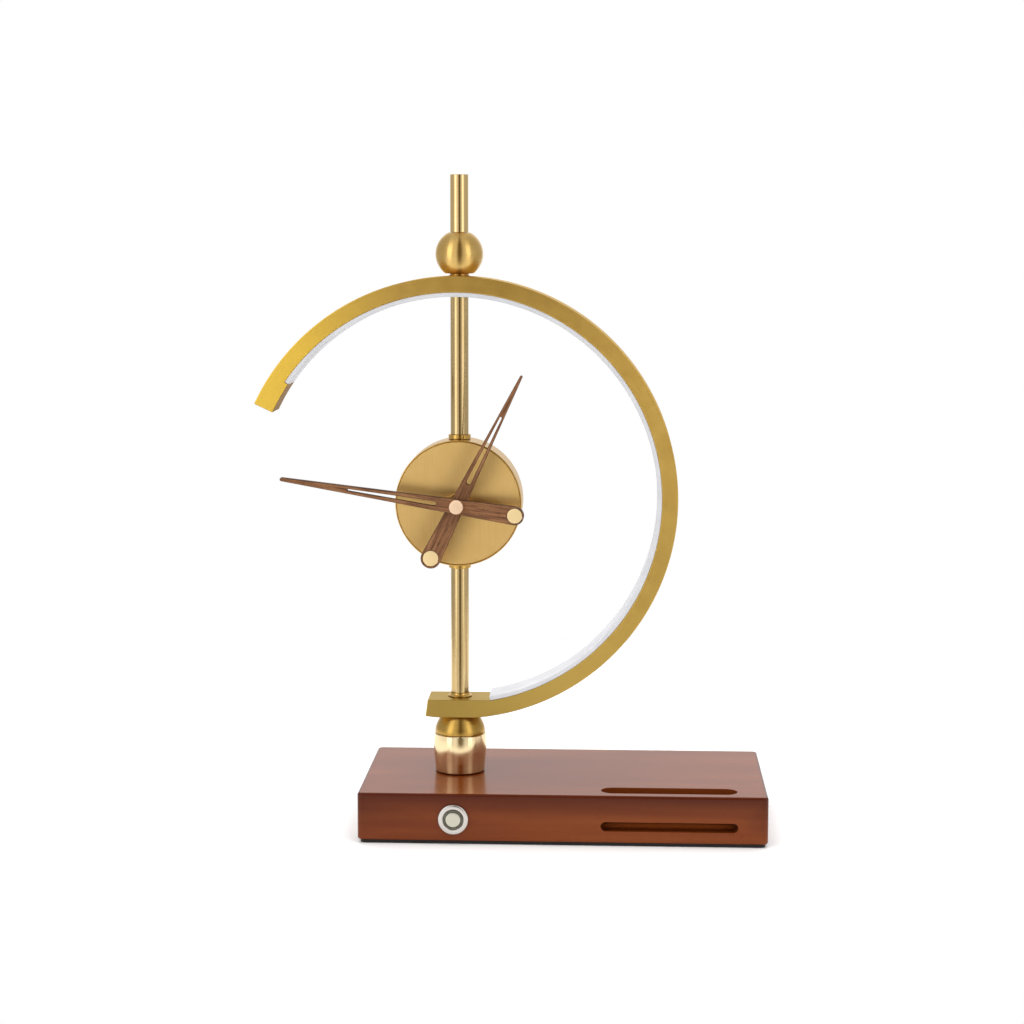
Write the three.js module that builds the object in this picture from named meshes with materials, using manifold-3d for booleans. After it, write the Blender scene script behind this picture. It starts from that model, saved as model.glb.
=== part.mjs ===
// Desk lamp clock: a lacquered wooden base carries a brass column, an open light ring and a drum clock.
// Millimetres, +Z up, the dial faces -Y. The origin is the middle of the base's underside.

import * as THREE from "three";
import { mergeVertices } from "three/addons/utils/BufferGeometryUtils.js";
import Module from "manifold-3d";

const wasm = await Module();
wasm.setup();

// Gaps between pieces
const seat = 0.05; // between flat faces that rest on each other
const fit = 0.3; // round a piece in its hole, and beside a curved neighbour
const overrun = 1; // how far a cutting tool runs past the face that it opens

// Wooden base, felt pad and closing plate
const baseWidth = 240;
const baseDepth = 120;
const woodHeight = 28;
const baseCorner = 3;
const baseEdge = 1.2;
const padHeight = 2;
const padInset = 1.5;
const cavityWall = 12;
const cavityRoof = 5;
const cavityCorner = 8;
const plateLip = 7;
const plateThickness = 2;
const plateCorner = 6;
const screwInset = 5;
const screwHeadR = 2.8;
const screwHeadHeight = 1.5;
const screwShankR = 1.4;
const screwLength = 13;

// Phone groove in the top, and the sound slot in the front below it
const stationInset = 57.5;
const grooveLength = 80;
const grooveWidth = 14;
const grooveMargin = 7;
const grooveDepth = 13;
const grooveLedge = 3;
const slotLength = 80;
const slotHeight = 5.6;
const slotCentreZ = 11.8;

// Push switch in the front face
const switchZ = 15.2;
const bezelR = 9;
const bezelHeight = 2;
const bezelChamfer = 0.6;
const switchBarrelR = 7.7;
const switchBarrelLength = 22;
const lightRingR = 5.75;
const lightRingWall = 0.95;
const lightRingDepth = 7;
const buttonProud = 0.2;
const buttonEdge = 0.4;
const buttonHeel = 1.5;
const buttonHeelLip = 0.15;
const buttonTravel = 2;
const stemR = 1.5;
const stemLength = 5;
const springR = 3;
const springWireR = 0.35;
const springTurns = 4;
const springLength = 7.4;
const switchNutFlats = 18;
const switchNutHeight = 3;
const terminalFlangeHeight = 3;
const terminalWidth = 2.8;
const terminalThickness = 0.8;
const terminalLength = 6;
const terminalSpacing = 6;

// Power inlet in the back face
const inletZ = 15;
const inletFlangeR = 7;
const inletFlangeHeight = 1.5;
const inletBarrelR = 5.5;
const inletBarrelLength = 18;
const inletSocketR = 3.2;
const inletSocketDepth = 9.5;
const inletPinR = 1;
const inletPinRecess = 2.5;
const inletNutFlats = 14;
const inletNutHeight = 3;

// Light driver board under the cavity's roof
const boardEndGap = 4;
const boardWidth = 30;
const boardThickness = 1.6;
const boardGapToColumn = 26;
const boardMargin = 2;
const capacitorR = 4;
const capacitorHeight = 8;
const inductorSize = 9;
const inductorHeight = 5;
const connectorLength = 8;
const connectorHeight = 5;

// Column: foot, threaded pipe, rods, collars and finial
const columnInset = 56.4;
const barrelHeight = 23.7;
const barrelFootR = 14.9;
const barrelBellyR = 16.1;
const barrelBellyHeight = 14.5;
const barrelTopR = 15.3;
const domeHeight = 11.4;
const domeR = 15.2;
const domeTopR = 10.8;
const domeShoulder = 1.5;
const domeBulge = 5.2;
const pipeR = 4;
const pipeBoreR = 2.3;
const pipeTail = 2;
const columnNutFlats = 14;
const columnNutHeight = 6;
const rodR = 5.4;
const lowerRodLength = 76.4;
const collarR = 7.2;
const collarNeckR = 5.7;
const collarHeight = 2.5;
const collarRim = 0.9;
const collarStep = 0.3;
const caseCollarR = 6.7;
const caseCollarHeight = 2.2;
const caseNutFlats = 12;
const caseNutHeight = 5;
const tieRodR = 2.5;
const tieRodTail = 10;
const washerR = 6.2;
const washerHeight = 1.4;
const ballR = 14.2;
const ballFlat = 11.4;
const ballSeat = 12.6;
const finialLength = 34;
const finialEdge = 0.5;

// Light ring: an arc with solid ends and a groove that opens inwards
const ringOuterR = 132.5;
const ringDepth = 26;
const ringBand = 9.4;
const ringCap = 2.7;
const ringFloor = 1.6;
const ringWall = 1.6;
const ringShiftX = -1.9;
const footFlat = 0.5;
const blockThickness = 10.8;
const lowerEndAngle = -97.9;
const lowerBlockAngle = -80.4;
const upperBlockAngle = 145.5;
const upperEndAngle = 154.6;
const snapDepth = 0.5;
const snapHeight = 1;
const tongueHeight = 3;
const stripWidth = 16;
const stripThickness = 1;
const ledSize = 5;
const ledHeight = 1.4;
const ledPitchAngle = 12;
const leadR = 1.1;
const leadHoleR = 1.8;
const leadBend = 4;

// Motion work of the clock: cannon pinion 12, minute wheel 36, minute pinion 10, hour wheel 40
const cannonTeeth = 12;
const minuteWheelTeeth = 36;
const minutePinionTeeth = 10;
const hourWheelTeeth = 40;
const arborDistance = 9.6;
const toothAddendum = 0.75;
const toothDedendum = 1.1;
const toothTipShare = 0.22;
const toothRootShare = 0.54;
const wheelThickness = 1.4;
const wheelGap = 0.4;
const arborR = 1.2;
const pivotR = 0.8;
const pivotLength = 2;
const pivotBossR = 2.4;
const hourTubeR = 2.45;
const knobArborR = 0.9;
const knobR = 6.5;
const knobHeight = 5;
const knobFlutes = 18;
const knobFluteDepth = 0.5;

// Quartz movement with its cell
const cellR = 7.25;
const cellLength = 50.1;
const cellEdge = 0.8;
const cellNubR = 2.75;
const cellNubHeight = 1;
const bayGap = 0.15;
const contactThickness = 0.4;
const contactSize = 9;
const movementDepth = 16;
const movementCorner = 3;
const movementSide = 0.9;
const movementEndWall = 1.2;
const movementWall = 1.5;
const movementDivider = 1.2;
const movementParting = 7;
const gearRoomGap = 0.6;
const bushR = 4;
const bushFlangeR = 6;
const bushFlangeHeight = 1;
const bushProud = 1.2;
const bushWasherR = 6.5;
const bushWasherHeight = 0.8;
const bushNutFlats = 11;
const bushNutHeight = 3;
const coilR = 3.5;
const coilFlangeR = 4.2;
const coilLength = 18;
const coilFlangeHeight = 1.2;
const quartzBoardWidth = 12;
const quartzBoardLength = 20;
const quartzBoardThickness = 1;
const crystalR = 1;
const crystalLength = 6;
const chipSize = 5;
const chipHeight = 1.2;
const chipMargin = 2;
const crystalMargin = 4;
const crystalSink = 0.2;
const boardRoomGap = 1.5;

// Drum case and dial
const caseWall = 1.5;
const caseDepth = 26;
const caseLip = 0.7;
const dialThickness = 0.8;
const dialGap = 0.2;

// Wooden hands with brass tail discs
const handThickness = 4;
const handEdge = 0.5;
const handGap = 1.8;
const handSpacing = 2.6;
const hourLength = 85.7;
const hourTail = 35.4;
const hourTailR = 6;
const hourTipR = 0.8;
const hourSlotStart = 14;
const hourSlotEnd = 58.6;
const hourSlotWidth = 2.8;
const hourSlotEndWidth = 1.2;
const hourDiscR = 4.6;
const hourAngle = 26.4;
const minuteLength = 105.4;
const minuteTail = 34.7;
const minuteTailR = 5.5;
const minuteTipR = 1.1;
const minuteSlotStart = 11.9;
const minuteSlotEnd = 65;
const minuteSlotWidth = 2.75;
const minuteSlotEndWidth = 1.1;
const minuteDiscR = 4.4;
const minuteAngle = 278.6;
const discFit = 0.15;
const discProud = 0.3;
const hubCapR = 4.1;
const hubCapHeight = 3.6;
const hubCapEdge = 0.6;
const hubCapRoof = 1.2;

// Fineness of round forms
const ringSteps = 60;
const wideSteps = 28;
const roundSteps = 24;
const smallSteps = 16;

// Heights of the base, from the table up
const woodBottom = padHeight + seat;
const baseTop = woodBottom + woodHeight;
const cavityTop = baseTop - cavityRoof;
const plateTop = woodBottom + plateThickness;
const columnX = columnInset - baseWidth / 2;
const stationX = baseWidth / 2 - stationInset;
const cavityLeft = cavityWall - baseWidth / 2;
const cavityRight = stationX - Math.max(grooveLength, slotLength) / 2 - cavityWall;
const cavityLength = cavityRight - cavityLeft;
const cavityX = (cavityRight + cavityLeft) / 2;
const cavityDepth = baseDepth - 2 * cavityWall;
const boardLeft = columnX + boardGapToColumn;
const boardRight = cavityRight - boardEndGap;
const plateLength = cavityLength + 2 * plateLip;
const plateDepth = cavityDepth + 2 * plateLip;
const grooveFront = grooveMargin - baseDepth / 2;
const grooveBack = grooveFront + grooveWidth;
const grooveFloor = baseTop - grooveDepth;

// Heights of the column, each piece standing on the one below
const barrelBottom = baseTop + seat;
const barrelTop = barrelBottom + barrelHeight;
const domeBottom = barrelTop + seat;
const domeTop = domeBottom + domeHeight;
const blockBottom = domeTop + seat;
const blockTop = blockBottom + blockThickness;
const ringZ = blockBottom + ringOuterR - footFlat;
const ringX = columnX + ringShiftX;
const collarBottom = blockTop + seat;
const lowerRodBottom = collarBottom + collarHeight + seat;
const lowerRodTop = lowerRodBottom + lowerRodLength;
const lowerCaseCollar = lowerRodTop + seat;

// Teeth: both pairs share one distance between their arbors
const firstModule = (2 * arborDistance) / (cannonTeeth + minuteWheelTeeth);
const secondModule = (2 * arborDistance) / (minutePinionTeeth + hourWheelTeeth);
const hourWheelTipR = tipRadius(hourWheelTeeth, secondModule);

// Movement housing, sized by the cell and the hour wheel
const bayHalfLength = cellLength / 2 + fit + contactThickness + seat;
const movementHalfWidth = bayHalfLength + movementSide;
const gearRoomBottom = -(hourWheelTipR + gearRoomGap);
const bayTop = gearRoomBottom - movementDivider;
const cellZ = bayTop - bayGap - cellR;
const bayBottom = cellZ - cellR - bayGap;
const movementHalfHeight = movementEndWall - bayBottom;
const gearRoomTop = movementHalfHeight - movementEndWall;

// Drum case, sized by the movement's corners
const movementReach =
  Math.hypot(movementHalfWidth - movementCorner, movementHalfHeight - movementCorner) + movementCorner;
const caseInnerR = movementReach + fit;
const caseR = caseInnerR + caseWall;
const clockZ = lowerCaseCollar + caseCollarHeight + fit + caseR;
const upperCaseCollar = clockZ + caseR + fit;
const upperRodBottom = upperCaseCollar + caseCollarHeight + seat;
const ringFloorR = ringOuterR - ringFloor;
const upperRodTop = ringZ + Math.sqrt(ringFloorR ** 2 - (Math.abs(ringShiftX) + rodR) ** 2) - fit;
const ringInnerR = ringOuterR - ringBand - ringCap;
const bandR = ringOuterR - ringBand;
const washerBottom = ringZ + ringOuterR + seat;
const ballZ = washerBottom + washerHeight + seat + ballFlat;
const finialBottom = ballZ + ballSeat + seat;

// Depths of the clock, from the dial back and from the dial forward
const dialFront = -caseDepth / 2;
const wallFront = dialFront + dialThickness + seat;
const wallBack = wallFront + caseWall;
const movementFront = wallBack + seat;
const movementBack = movementFront + movementDepth;
const movementFloor = movementFront + movementWall;
const partingY = movementFront + movementParting;
const bushFlangeFront = movementFloor + seat;
const hourWheelFront = bushFlangeFront + bushFlangeHeight + fit;
const minuteWheelFront = hourWheelFront + wheelThickness + wheelGap;
const pivotBossFront = minuteWheelFront + wheelThickness + fit;
const washerFront = dialFront - seat - bushWasherHeight;
const bushNutFront = washerFront - seat - bushNutHeight;
const bushFront = bushNutFront - bushProud;
const hourHandBack = bushFront - handGap;
const hourHandFront = hourHandBack - handThickness;
const minuteHandBack = hourHandFront - handSpacing;
const minuteHandFront = minuteHandBack - handThickness;
const hubCapFront = minuteHandFront - seat - hubCapHeight;
const arborFront = hubCapFront + hubCapRoof + fit;

// Solids and cutting

function solidOf(geometry) {
  const bare = geometry.clone();
  bare.deleteAttribute("normal");
  bare.deleteAttribute("uv");
  const merged = mergeVertices(bare, 1e-4);
  const corners = merged.index.array;
  const faces = [];
  for (let i = 0; i < corners.length; i += 3) {
    const [a, b, c] = corners.subarray(i, i + 3);
    if (a !== b && b !== c && c !== a) faces.push(a, b, c);
  }
  const vertProperties = merged.attributes.position.array;
  return new wasm.Manifold(new wasm.Mesh({ numProp: 3, vertProperties, triVerts: new Uint32Array(faces) }));
}

function geometryOf(solid) {
  const mesh = solid.getMesh();
  const geometry = new THREE.BufferGeometry();
  geometry.setAttribute("position", new THREE.BufferAttribute(mesh.vertProperties, 3));
  geometry.setIndex(new THREE.BufferAttribute(mesh.triVerts, 1));
  return geometry;
}

function cut(body, ...tools) {
  return geometryOf(tools.reduce((solid, tool) => solid.subtract(solidOf(tool)), solidOf(body)));
}

function join(body, ...others) {
  return geometryOf(others.reduce((solid, other) => solid.add(solidOf(other)), solidOf(body)));
}

function common(body, other) {
  return geometryOf(solidOf(body).intersect(solidOf(other)));
}

// Outlines

function roundedRect(width, height, corner, x = 0, y = 0) {
  const [left, right, low, high] = [x - width / 2, x + width / 2, y - height / 2, y + height / 2];
  const shape = new THREE.Shape();
  shape.absarc(right - corner, low + corner, corner, -Math.PI / 2, 0);
  shape.absarc(right - corner, high - corner, corner, 0, Math.PI / 2);
  shape.absarc(left + corner, high - corner, corner, Math.PI / 2, Math.PI);
  shape.absarc(left + corner, low + corner, corner, Math.PI, 1.5 * Math.PI);
  shape.closePath();
  return shape;
}

function rectangle(left, right, low, high) {
  const corners = [[left, low], [right, low], [right, high], [left, high]];
  return new THREE.Shape(corners.map(([x, y]) => new THREE.Vector2(x, y)));
}

function stadium(length, width, x = 0, y = 0) {
  const reach = (length - width) / 2;
  const shape = new THREE.Shape();
  shape.absarc(x + reach, y, width / 2, -Math.PI / 2, Math.PI / 2);
  shape.absarc(x - reach, y, width / 2, Math.PI / 2, 1.5 * Math.PI);
  shape.closePath();
  return shape;
}

function hexagon(acrossFlats) {
  const reach = hexReach(acrossFlats);
  const points = [];
  for (let side = 0; side < 6; side += 1) points.push(polar(reach, (side * Math.PI) / 3));
  return new THREE.Shape(points);
}

function hexReach(acrossFlats) {
  return acrossFlats / Math.sqrt(3);
}

function polar(radius, angle) {
  return new THREE.Vector2(radius * Math.cos(angle), radius * Math.sin(angle));
}

function pie(fromDegrees, toDegrees, radius) {
  const [from, to] = [fromDegrees, toDegrees].map(THREE.MathUtils.degToRad);
  const shape = new THREE.Shape();
  shape.moveTo(0, 0);
  shape.absarc(0, 0, radius, from, to);
  shape.lineTo(0, 0);
  return shape;
}

// Prisms and turned forms

function prismZ(shape, low, high, curveSegments = 6) {
  const options = { depth: high - low, bevelEnabled: false, curveSegments };
  return new THREE.ExtrudeGeometry(shape, options).translate(0, 0, low);
}

function prismY(shape, front, back, curveSegments = 6) {
  const options = { depth: back - front, bevelEnabled: false, curveSegments };
  return new THREE.ExtrudeGeometry(shape, options).rotateX(Math.PI / 2).translate(0, back, 0);
}

// The profile is [radius, height] points, anticlockwise; off the axis it closes on itself.
function turnedY(profile, steps) {
  const points = profile.map(([radius, height]) => new THREE.Vector2(radius, height));
  if (profile[0][0] > 0) points.push(points[0].clone());
  return new THREE.LatheGeometry(points, steps);
}

function turnedZ(profile, steps) {
  return turnedY(profile, steps).rotateX(Math.PI / 2);
}

function pinZ(radius, low, high, steps = smallSteps) {
  return turnedZ([[0, low], [radius, low], [radius, high], [0, high]], steps);
}

function pinY(radius, front, back, steps = smallSteps) {
  return turnedY([[0, front], [radius, front], [radius, back], [0, back]], steps);
}

function pinX(radius, left, right, steps = smallSteps) {
  return pinY(radius, left, right, steps).rotateZ(-Math.PI / 2);
}

function tubeZ(radius, bore, low, high, steps = smallSteps) {
  return turnedZ([[bore, low], [radius, low], [radius, high], [bore, high]], steps);
}

function tubeY(radius, bore, front, back, steps = smallSteps) {
  return turnedY([[bore, front], [radius, front], [radius, back], [bore, back]], steps);
}

function box(left, right, front, back, low, high) {
  return prismZ(rectangle(left, right, front, back), low, high);
}

// Base

function screwPlaces() {
  const reachX = plateLength / 2 - screwInset;
  const reachY = plateDepth / 2 - screwInset;
  return [[1, 1], [-1, 1], [-1, -1], [1, -1]].map(([sx, sy]) => [cavityX + sx * reachX, sy * reachY]);
}

function baseBlock() {
  const blank = new THREE.ExtrudeGeometry(roundedRect(baseWidth, baseDepth, baseCorner), {
    depth: woodHeight - 2 * baseEdge,
    bevelThickness: baseEdge,
    bevelSize: baseEdge,
    bevelOffset: -baseEdge,
    bevelSegments: 2,
    curveSegments: 4,
  }).translate(0, 0, woodBottom + baseEdge);
  const below = woodBottom - overrun;
  const grooveY = (grooveFront + grooveBack) / 2;
  const groove = stadium(grooveLength, grooveWidth, stationX, grooveY);
  const port = stadium(grooveLength - 2 * grooveLedge, grooveWidth - 2 * grooveLedge, stationX, grooveY);
  const slot = stadium(slotLength, slotHeight, stationX, slotCentreZ);
  const cavity = roundedRect(cavityLength, cavityDepth, cavityCorner, cavityX);
  const rebate = roundedRect(plateLength + 2 * fit, plateDepth + 2 * fit, plateCorner + fit, cavityX);
  const frontHole = pinY(switchBarrelR + fit, -overrun, cavityWall + overrun, roundSteps);
  const backHole = pinY(inletBarrelR + fit, -cavityWall - overrun, overrun);
  const pilots = screwPlaces().map(([x, y]) =>
    pinZ(screwShankR + fit, below, woodBottom + screwLength + overrun, 8).translate(x, y, 0),
  );
  return cut(
    blank,
    prismZ(groove, grooveFloor, baseTop + overrun),
    prismZ(port, slotCentreZ, grooveFloor + overrun),
    prismY(slot, -baseDepth / 2 - overrun, grooveBack),
    prismZ(cavity, below, cavityTop, 4),
    prismZ(rebate, below, plateTop + seat, 4),
    pinZ(pipeR + fit, cavityTop - overrun, baseTop + overrun).translate(columnX, 0, 0),
    frontHole.translate(columnX, -baseDepth / 2, switchZ),
    backHole.translate(columnX, baseDepth / 2, inletZ),
    ...pilots,
  );
}

function basePad() {
  const outline = roundedRect(baseWidth - 2 * padInset, baseDepth - 2 * padInset, baseCorner);
  return prismZ(outline, 0, padHeight, 4);
}

function basePlate() {
  const outline = roundedRect(plateLength, plateDepth, plateCorner, cavityX);
  const holes = screwPlaces().map(([x, y]) => {
    const rim = screwHeadR + fit;
    const neck = screwShankR + fit;
    const profile = [
      [0, woodBottom - overrun],
      [rim, woodBottom - overrun],
      [rim, woodBottom + fit],
      [neck, woodBottom + fit + screwHeadHeight],
      [neck, plateTop + overrun],
      [0, plateTop + overrun],
    ];
    return turnedZ(profile, 10).translate(x, y, 0);
  });
  return cut(prismZ(outline, woodBottom, plateTop, 4), ...holes);
}

function baseScrew() {
  const head = woodBottom + fit / 2;
  const tip = woodBottom + screwLength;
  const profile = [
    [0, head],
    [screwHeadR, head],
    [screwShankR, head + screwHeadHeight],
    [screwShankR, tip - screwShankR],
    [0, tip],
  ];
  return turnedZ(profile, 10);
}

function driverBoard() {
  const top = cavityTop - seat;
  const face = top - boardThickness;
  const board = box(boardLeft, boardRight, -boardWidth / 2, boardWidth / 2, face, top);
  const capacitor = pinZ(capacitorR, face - capacitorHeight, face + seat);
  const inductor = box(0, inductorSize, 0, inductorSize, face - inductorHeight, face + seat);
  const connector = box(0, connectorHeight, 0, connectorLength, face - connectorHeight, face + seat);
  return join(
    board,
    capacitor.translate(boardRight - capacitorR - boardMargin, 0, 0),
    inductor.translate((boardLeft + boardRight) / 2 - inductorSize, boardMargin - boardWidth / 2, 0),
    connector.translate(boardLeft + boardMargin, -connectorLength / 2, 0),
  );
}

// Push switch, turned about its own axis, with the base's front face at zero

const buttonR = lightRingR - lightRingWall - fit;
const bezelFront = -seat - bezelHeight;
const ringShoulder = bezelFront + lightRingDepth;
const switchBoreR = buttonR + fit + buttonHeelLip + fit;
const heelFront = ringShoulder + fit;
const heelBack = heelFront + buttonHeel;
const springBack = heelBack + seat + springLength;

function switchBody() {
  return turnedY(
    [
      [lightRingR + fit, bezelFront],
      [bezelR - bezelChamfer, bezelFront],
      [bezelR, bezelFront + bezelChamfer],
      [bezelR, -seat],
      [switchBarrelR, -seat],
      [switchBarrelR, switchBarrelLength],
      [switchBoreR, switchBarrelLength],
      [switchBoreR, ringShoulder],
      [lightRingR + fit, ringShoulder],
    ],
    roundSteps,
  );
}

function switchLightRing() {
  return tubeY(lightRingR, lightRingR - lightRingWall, bezelFront + seat, ringShoulder - seat, roundSteps);
}

function switchButton() {
  const front = bezelFront - buttonProud;
  return turnedY(
    [
      [0, front],
      [buttonR - buttonEdge, front],
      [buttonR, front + buttonEdge],
      [buttonR, heelFront],
      [switchBoreR - fit, heelFront],
      [switchBoreR - fit, heelBack],
      [stemR, heelBack],
      [stemR, heelBack + stemLength],
      [0, heelBack + stemLength],
    ],
    roundSteps,
  );
}

// The wire's helix runs along Y; its ends lie against the button's heel and the terminal block.
class SpringPath extends THREE.Curve {
  getPoint(t) {
    const turn = 2 * Math.PI * springTurns * t;
    const start = heelBack + seat + springWireR + fit;
    const run = springLength - 2 * (springWireR + fit);
    return new THREE.Vector3(springR * Math.cos(turn), start + run * t, springR * Math.sin(turn));
  }
}

function switchSpring() {
  const wire = new THREE.Shape();
  wire.absarc(0, 0, springWireR, 0, 2 * Math.PI);
  return new THREE.ExtrudeGeometry(wire, {
    steps: springTurns * 10,
    curveSegments: 3,
    extrudePath: new SpringPath(),
  });
}

function switchNut() {
  const front = cavityWall + seat;
  return cut(
    prismY(hexagon(switchNutFlats), front, front + switchNutHeight),
    pinY(switchBarrelR + fit, front - overrun, front + switchNutHeight + overrun, roundSteps),
  );
}

function switchTerminals() {
  const flange = switchBarrelLength + seat;
  const flangeBack = flange + terminalFlangeHeight;
  const plug = turnedY(
    [
      [0, springBack + seat],
      [switchBoreR - fit, springBack + seat],
      [switchBoreR - fit, flange],
      [switchBarrelR, flange],
      [switchBarrelR, flangeBack],
      [0, flangeBack],
    ],
    smallSteps,
  );
  const blades = [-1, 1].map((side) => {
    const x = (side * terminalSpacing) / 2;
    const half = terminalThickness / 2;
    const back = flangeBack + terminalLength;
    return box(x - half, x + half, flangeBack - seat, back, -terminalWidth / 2, terminalWidth / 2);
  });
  return join(plug, ...blades);
}

// Power inlet, turned about its own axis, with the base's back face at zero

function powerInlet() {
  return turnedY(
    [
      [0, -inletBarrelLength],
      [inletBarrelR, -inletBarrelLength],
      [inletBarrelR, seat],
      [inletFlangeR, seat],
      [inletFlangeR, seat + inletFlangeHeight],
      [inletSocketR, seat + inletFlangeHeight],
      [inletSocketR, -inletSocketDepth],
      [inletPinR, -inletSocketDepth],
      [inletPinR, -inletPinRecess],
      [0, -inletPinRecess],
    ],
    smallSteps,
  );
}

function inletNut() {
  const back = -cavityWall - seat;
  return cut(
    prismY(hexagon(inletNutFlats), back - inletNutHeight, back),
    pinY(inletBarrelR + fit, back - inletNutHeight - overrun, back + overrun),
  );
}

// Column, about its own axis

function footBarrel() {
  const side = new THREE.SplineCurve([
    new THREE.Vector2(barrelFootR, barrelBottom),
    new THREE.Vector2(barrelBellyR, barrelBottom + barrelBellyHeight),
    new THREE.Vector2(barrelTopR, barrelTop),
  ]);
  const bore = pipeR + fit;
  const profile = [[bore, barrelBottom], ...side.getPoints(9).map((p) => [p.x, p.y]), [bore, barrelTop]];
  return turnedZ(profile, wideSteps);
}

function footDome() {
  const side = new THREE.QuadraticBezierCurve(
    new THREE.Vector2(domeR, domeBottom + domeShoulder),
    new THREE.Vector2(domeR, domeBottom + domeBulge),
    new THREE.Vector2(domeTopR, domeTop),
  );
  const bore = pipeR + fit;
  const profile = [
    [bore, domeBottom],
    [domeR, domeBottom],
    ...side.getPoints(8).map((p) => [p.x, p.y]),
    [bore, domeTop],
  ];
  return turnedZ(profile, wideSteps);
}

const columnNutTop = cavityTop - seat;
const columnNutBottom = columnNutTop - columnNutHeight;
const pipeBottom = columnNutBottom - pipeTail;
const caseNutDrop = Math.sqrt(caseInnerR ** 2 - hexReach(caseNutFlats) ** 2) - fit;
const pipeTop = clockZ - caseNutDrop + caseNutHeight + pipeTail;
const leadZ = (blockBottom + blockTop) / 2;

function hexNutZ(flats, boreR, low, high) {
  return cut(prismZ(hexagon(flats), low, high), pinZ(boreR + fit, low - overrun, high + overrun));
}

function threadedPipe() {
  const window = leadHoleR + fit;
  return cut(
    tubeZ(pipeR, pipeBoreR, pipeBottom, pipeTop, 20),
    box(0, pipeR + overrun, -window, window, leadZ - leadBend - window, leadZ + window),
  );
}

function rod(low, high, bore) {
  return tubeZ(rodR, bore + fit, low, high, roundSteps);
}

function lowerCollar() {
  const bore = pipeR + fit;
  const top = collarBottom + collarHeight;
  const profile = [
    [bore, collarBottom],
    [collarR, collarBottom],
    [collarR, collarBottom + collarRim],
    [(collarR + collarNeckR) / 2, collarBottom + collarRim + collarStep],
    [collarNeckR, top],
    [bore, top],
  ];
  return turnedZ(profile, roundSteps);
}

// A collar whose far end is hollowed to the drum's round wall
function caseCollar(face, side, bore) {
  const sag = caseR - Math.sqrt(caseR ** 2 - caseCollarR ** 2);
  const reach = face + side * (caseCollarHeight + sag);
  const blank = tubeZ(caseCollarR, bore + fit, Math.min(face, reach), Math.max(face, reach), roundSteps);
  const drum = pinY(caseR + fit, -caseDepth, caseDepth, 2 * wideSteps).translate(0, 0, clockZ);
  return cut(blank, drum);
}

function upperTieRod() {
  return pinZ(tieRodR, clockZ + caseNutDrop - caseNutHeight - pipeTail, finialBottom + tieRodTail);
}

function topWasher() {
  return tubeZ(washerR, tieRodR + fit, washerBottom, washerBottom + washerHeight, roundSteps);
}

function finialBall() {
  const bore = tieRodR + fit;
  const from = Math.asin(-ballFlat / ballR);
  const to = Math.asin(ballSeat / ballR);
  const steps = 8;
  const profile = [[bore, ballZ - ballFlat]];
  for (let i = 0; i <= steps; i += 1) {
    const point = polar(ballR, from + ((to - from) * i) / steps);
    profile.push([point.x, ballZ + point.y]);
  }
  profile.push([bore, ballZ + ballSeat]);
  return turnedZ(profile, wideSteps);
}

function finialRod() {
  const bore = tieRodR + fit;
  const top = finialBottom + finialLength;
  const boreTop = finialBottom + tieRodTail + fit;
  const profile = [
    [bore, finialBottom],
    [rodR, finialBottom],
    [rodR, top - finialEdge],
    [rodR - finialEdge, top],
    [0, top],
    [0, boreTop],
    [bore, boreTop],
    [bore, finialBottom],
  ];
  const points = profile.map(([radius, height]) => new THREE.Vector2(radius, height));
  return new THREE.LatheGeometry(points, roundSteps).rotateX(Math.PI / 2);
}

// Light ring, about its own centre

const ringHalf = ringDepth / 2;
const grooveHalf = ringHalf - ringWall;
const pieR = 1.5 * ringOuterR;
const endGap = THREE.MathUtils.radToDeg(fit / ringInnerR);
const diffuserStart = lowerBlockAngle + endGap;
const diffuserEnd = upperBlockAngle - endGap;

function arc(profile, fromDegrees, toDegrees) {
  const wedge = prismY(pie(fromDegrees, toDegrees, pieR), -ringDepth, ringDepth, 24);
  return common(turnedY(profile, ringSteps), wedge);
}

// A section that is the same on both sides of the ring's middle plane, given by its front half.
function mirrored(half) {
  return [...half, ...half.map(([radius, y]) => [radius, -y]).reverse()];
}

function ringFrame() {
  const blank = mirrored([[ringInnerR, -ringHalf], [ringOuterR, -ringHalf]]);
  const mouth = mirrored([[ringInnerR - overrun, -ringDepth], [bandR, -ringDepth]]);
  const snapTop = bandR + 2 * snapHeight;
  const groove = mirrored([
    [bandR - overrun, -grooveHalf],
    [bandR + snapHeight, -grooveHalf],
    [bandR + snapHeight, -grooveHalf - snapDepth],
    [snapTop, -grooveHalf - snapDepth],
    [snapTop, -grooveHalf],
    [ringFloorR, -grooveHalf],
  ]);
  const [low, high] = [blockBottom - ringZ, blockTop - ringZ];
  const reach = ringOuterR / 3;
  const above = box(-reach, reach, -ringDepth, ringDepth, high, high + ringCap * 4);
  const blockPie = pie(2 * lowerEndAngle - lowerBlockAngle, lowerBlockAngle + endGap, pieR);
  const blockWedge = prismY(blockPie, -2 * ringDepth, 2 * ringDepth);
  const grooveX = bandR * Math.cos(THREE.MathUtils.degToRad(lowerBlockAngle));
  return cut(
    arc(blank, lowerEndAngle, upperEndAngle),
    arc(mouth, lowerBlockAngle, upperBlockAngle),
    arc(groove, lowerBlockAngle, upperBlockAngle),
    common(above, blockWedge),
    box(-reach, reach, -ringDepth, ringDepth, low - ringCap, low),
    pinZ(pipeR + fit, low - ringCap, high + overrun).translate(-ringShiftX, 0, 0),
    pinX(leadHoleR, -ringShiftX, grooveX + ringBand / 2).translate(0, 0, leadZ - ringZ),
    pinZ(tieRodR + fit, ringInnerR, ringOuterR + overrun).translate(-ringShiftX, 0, 0),
  );
}

function rodHole() {
  return pinZ(rodR + fit, ringInnerR - ringBand, ringOuterR, roundSteps).translate(-ringShiftX, 0, 0);
}

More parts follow.
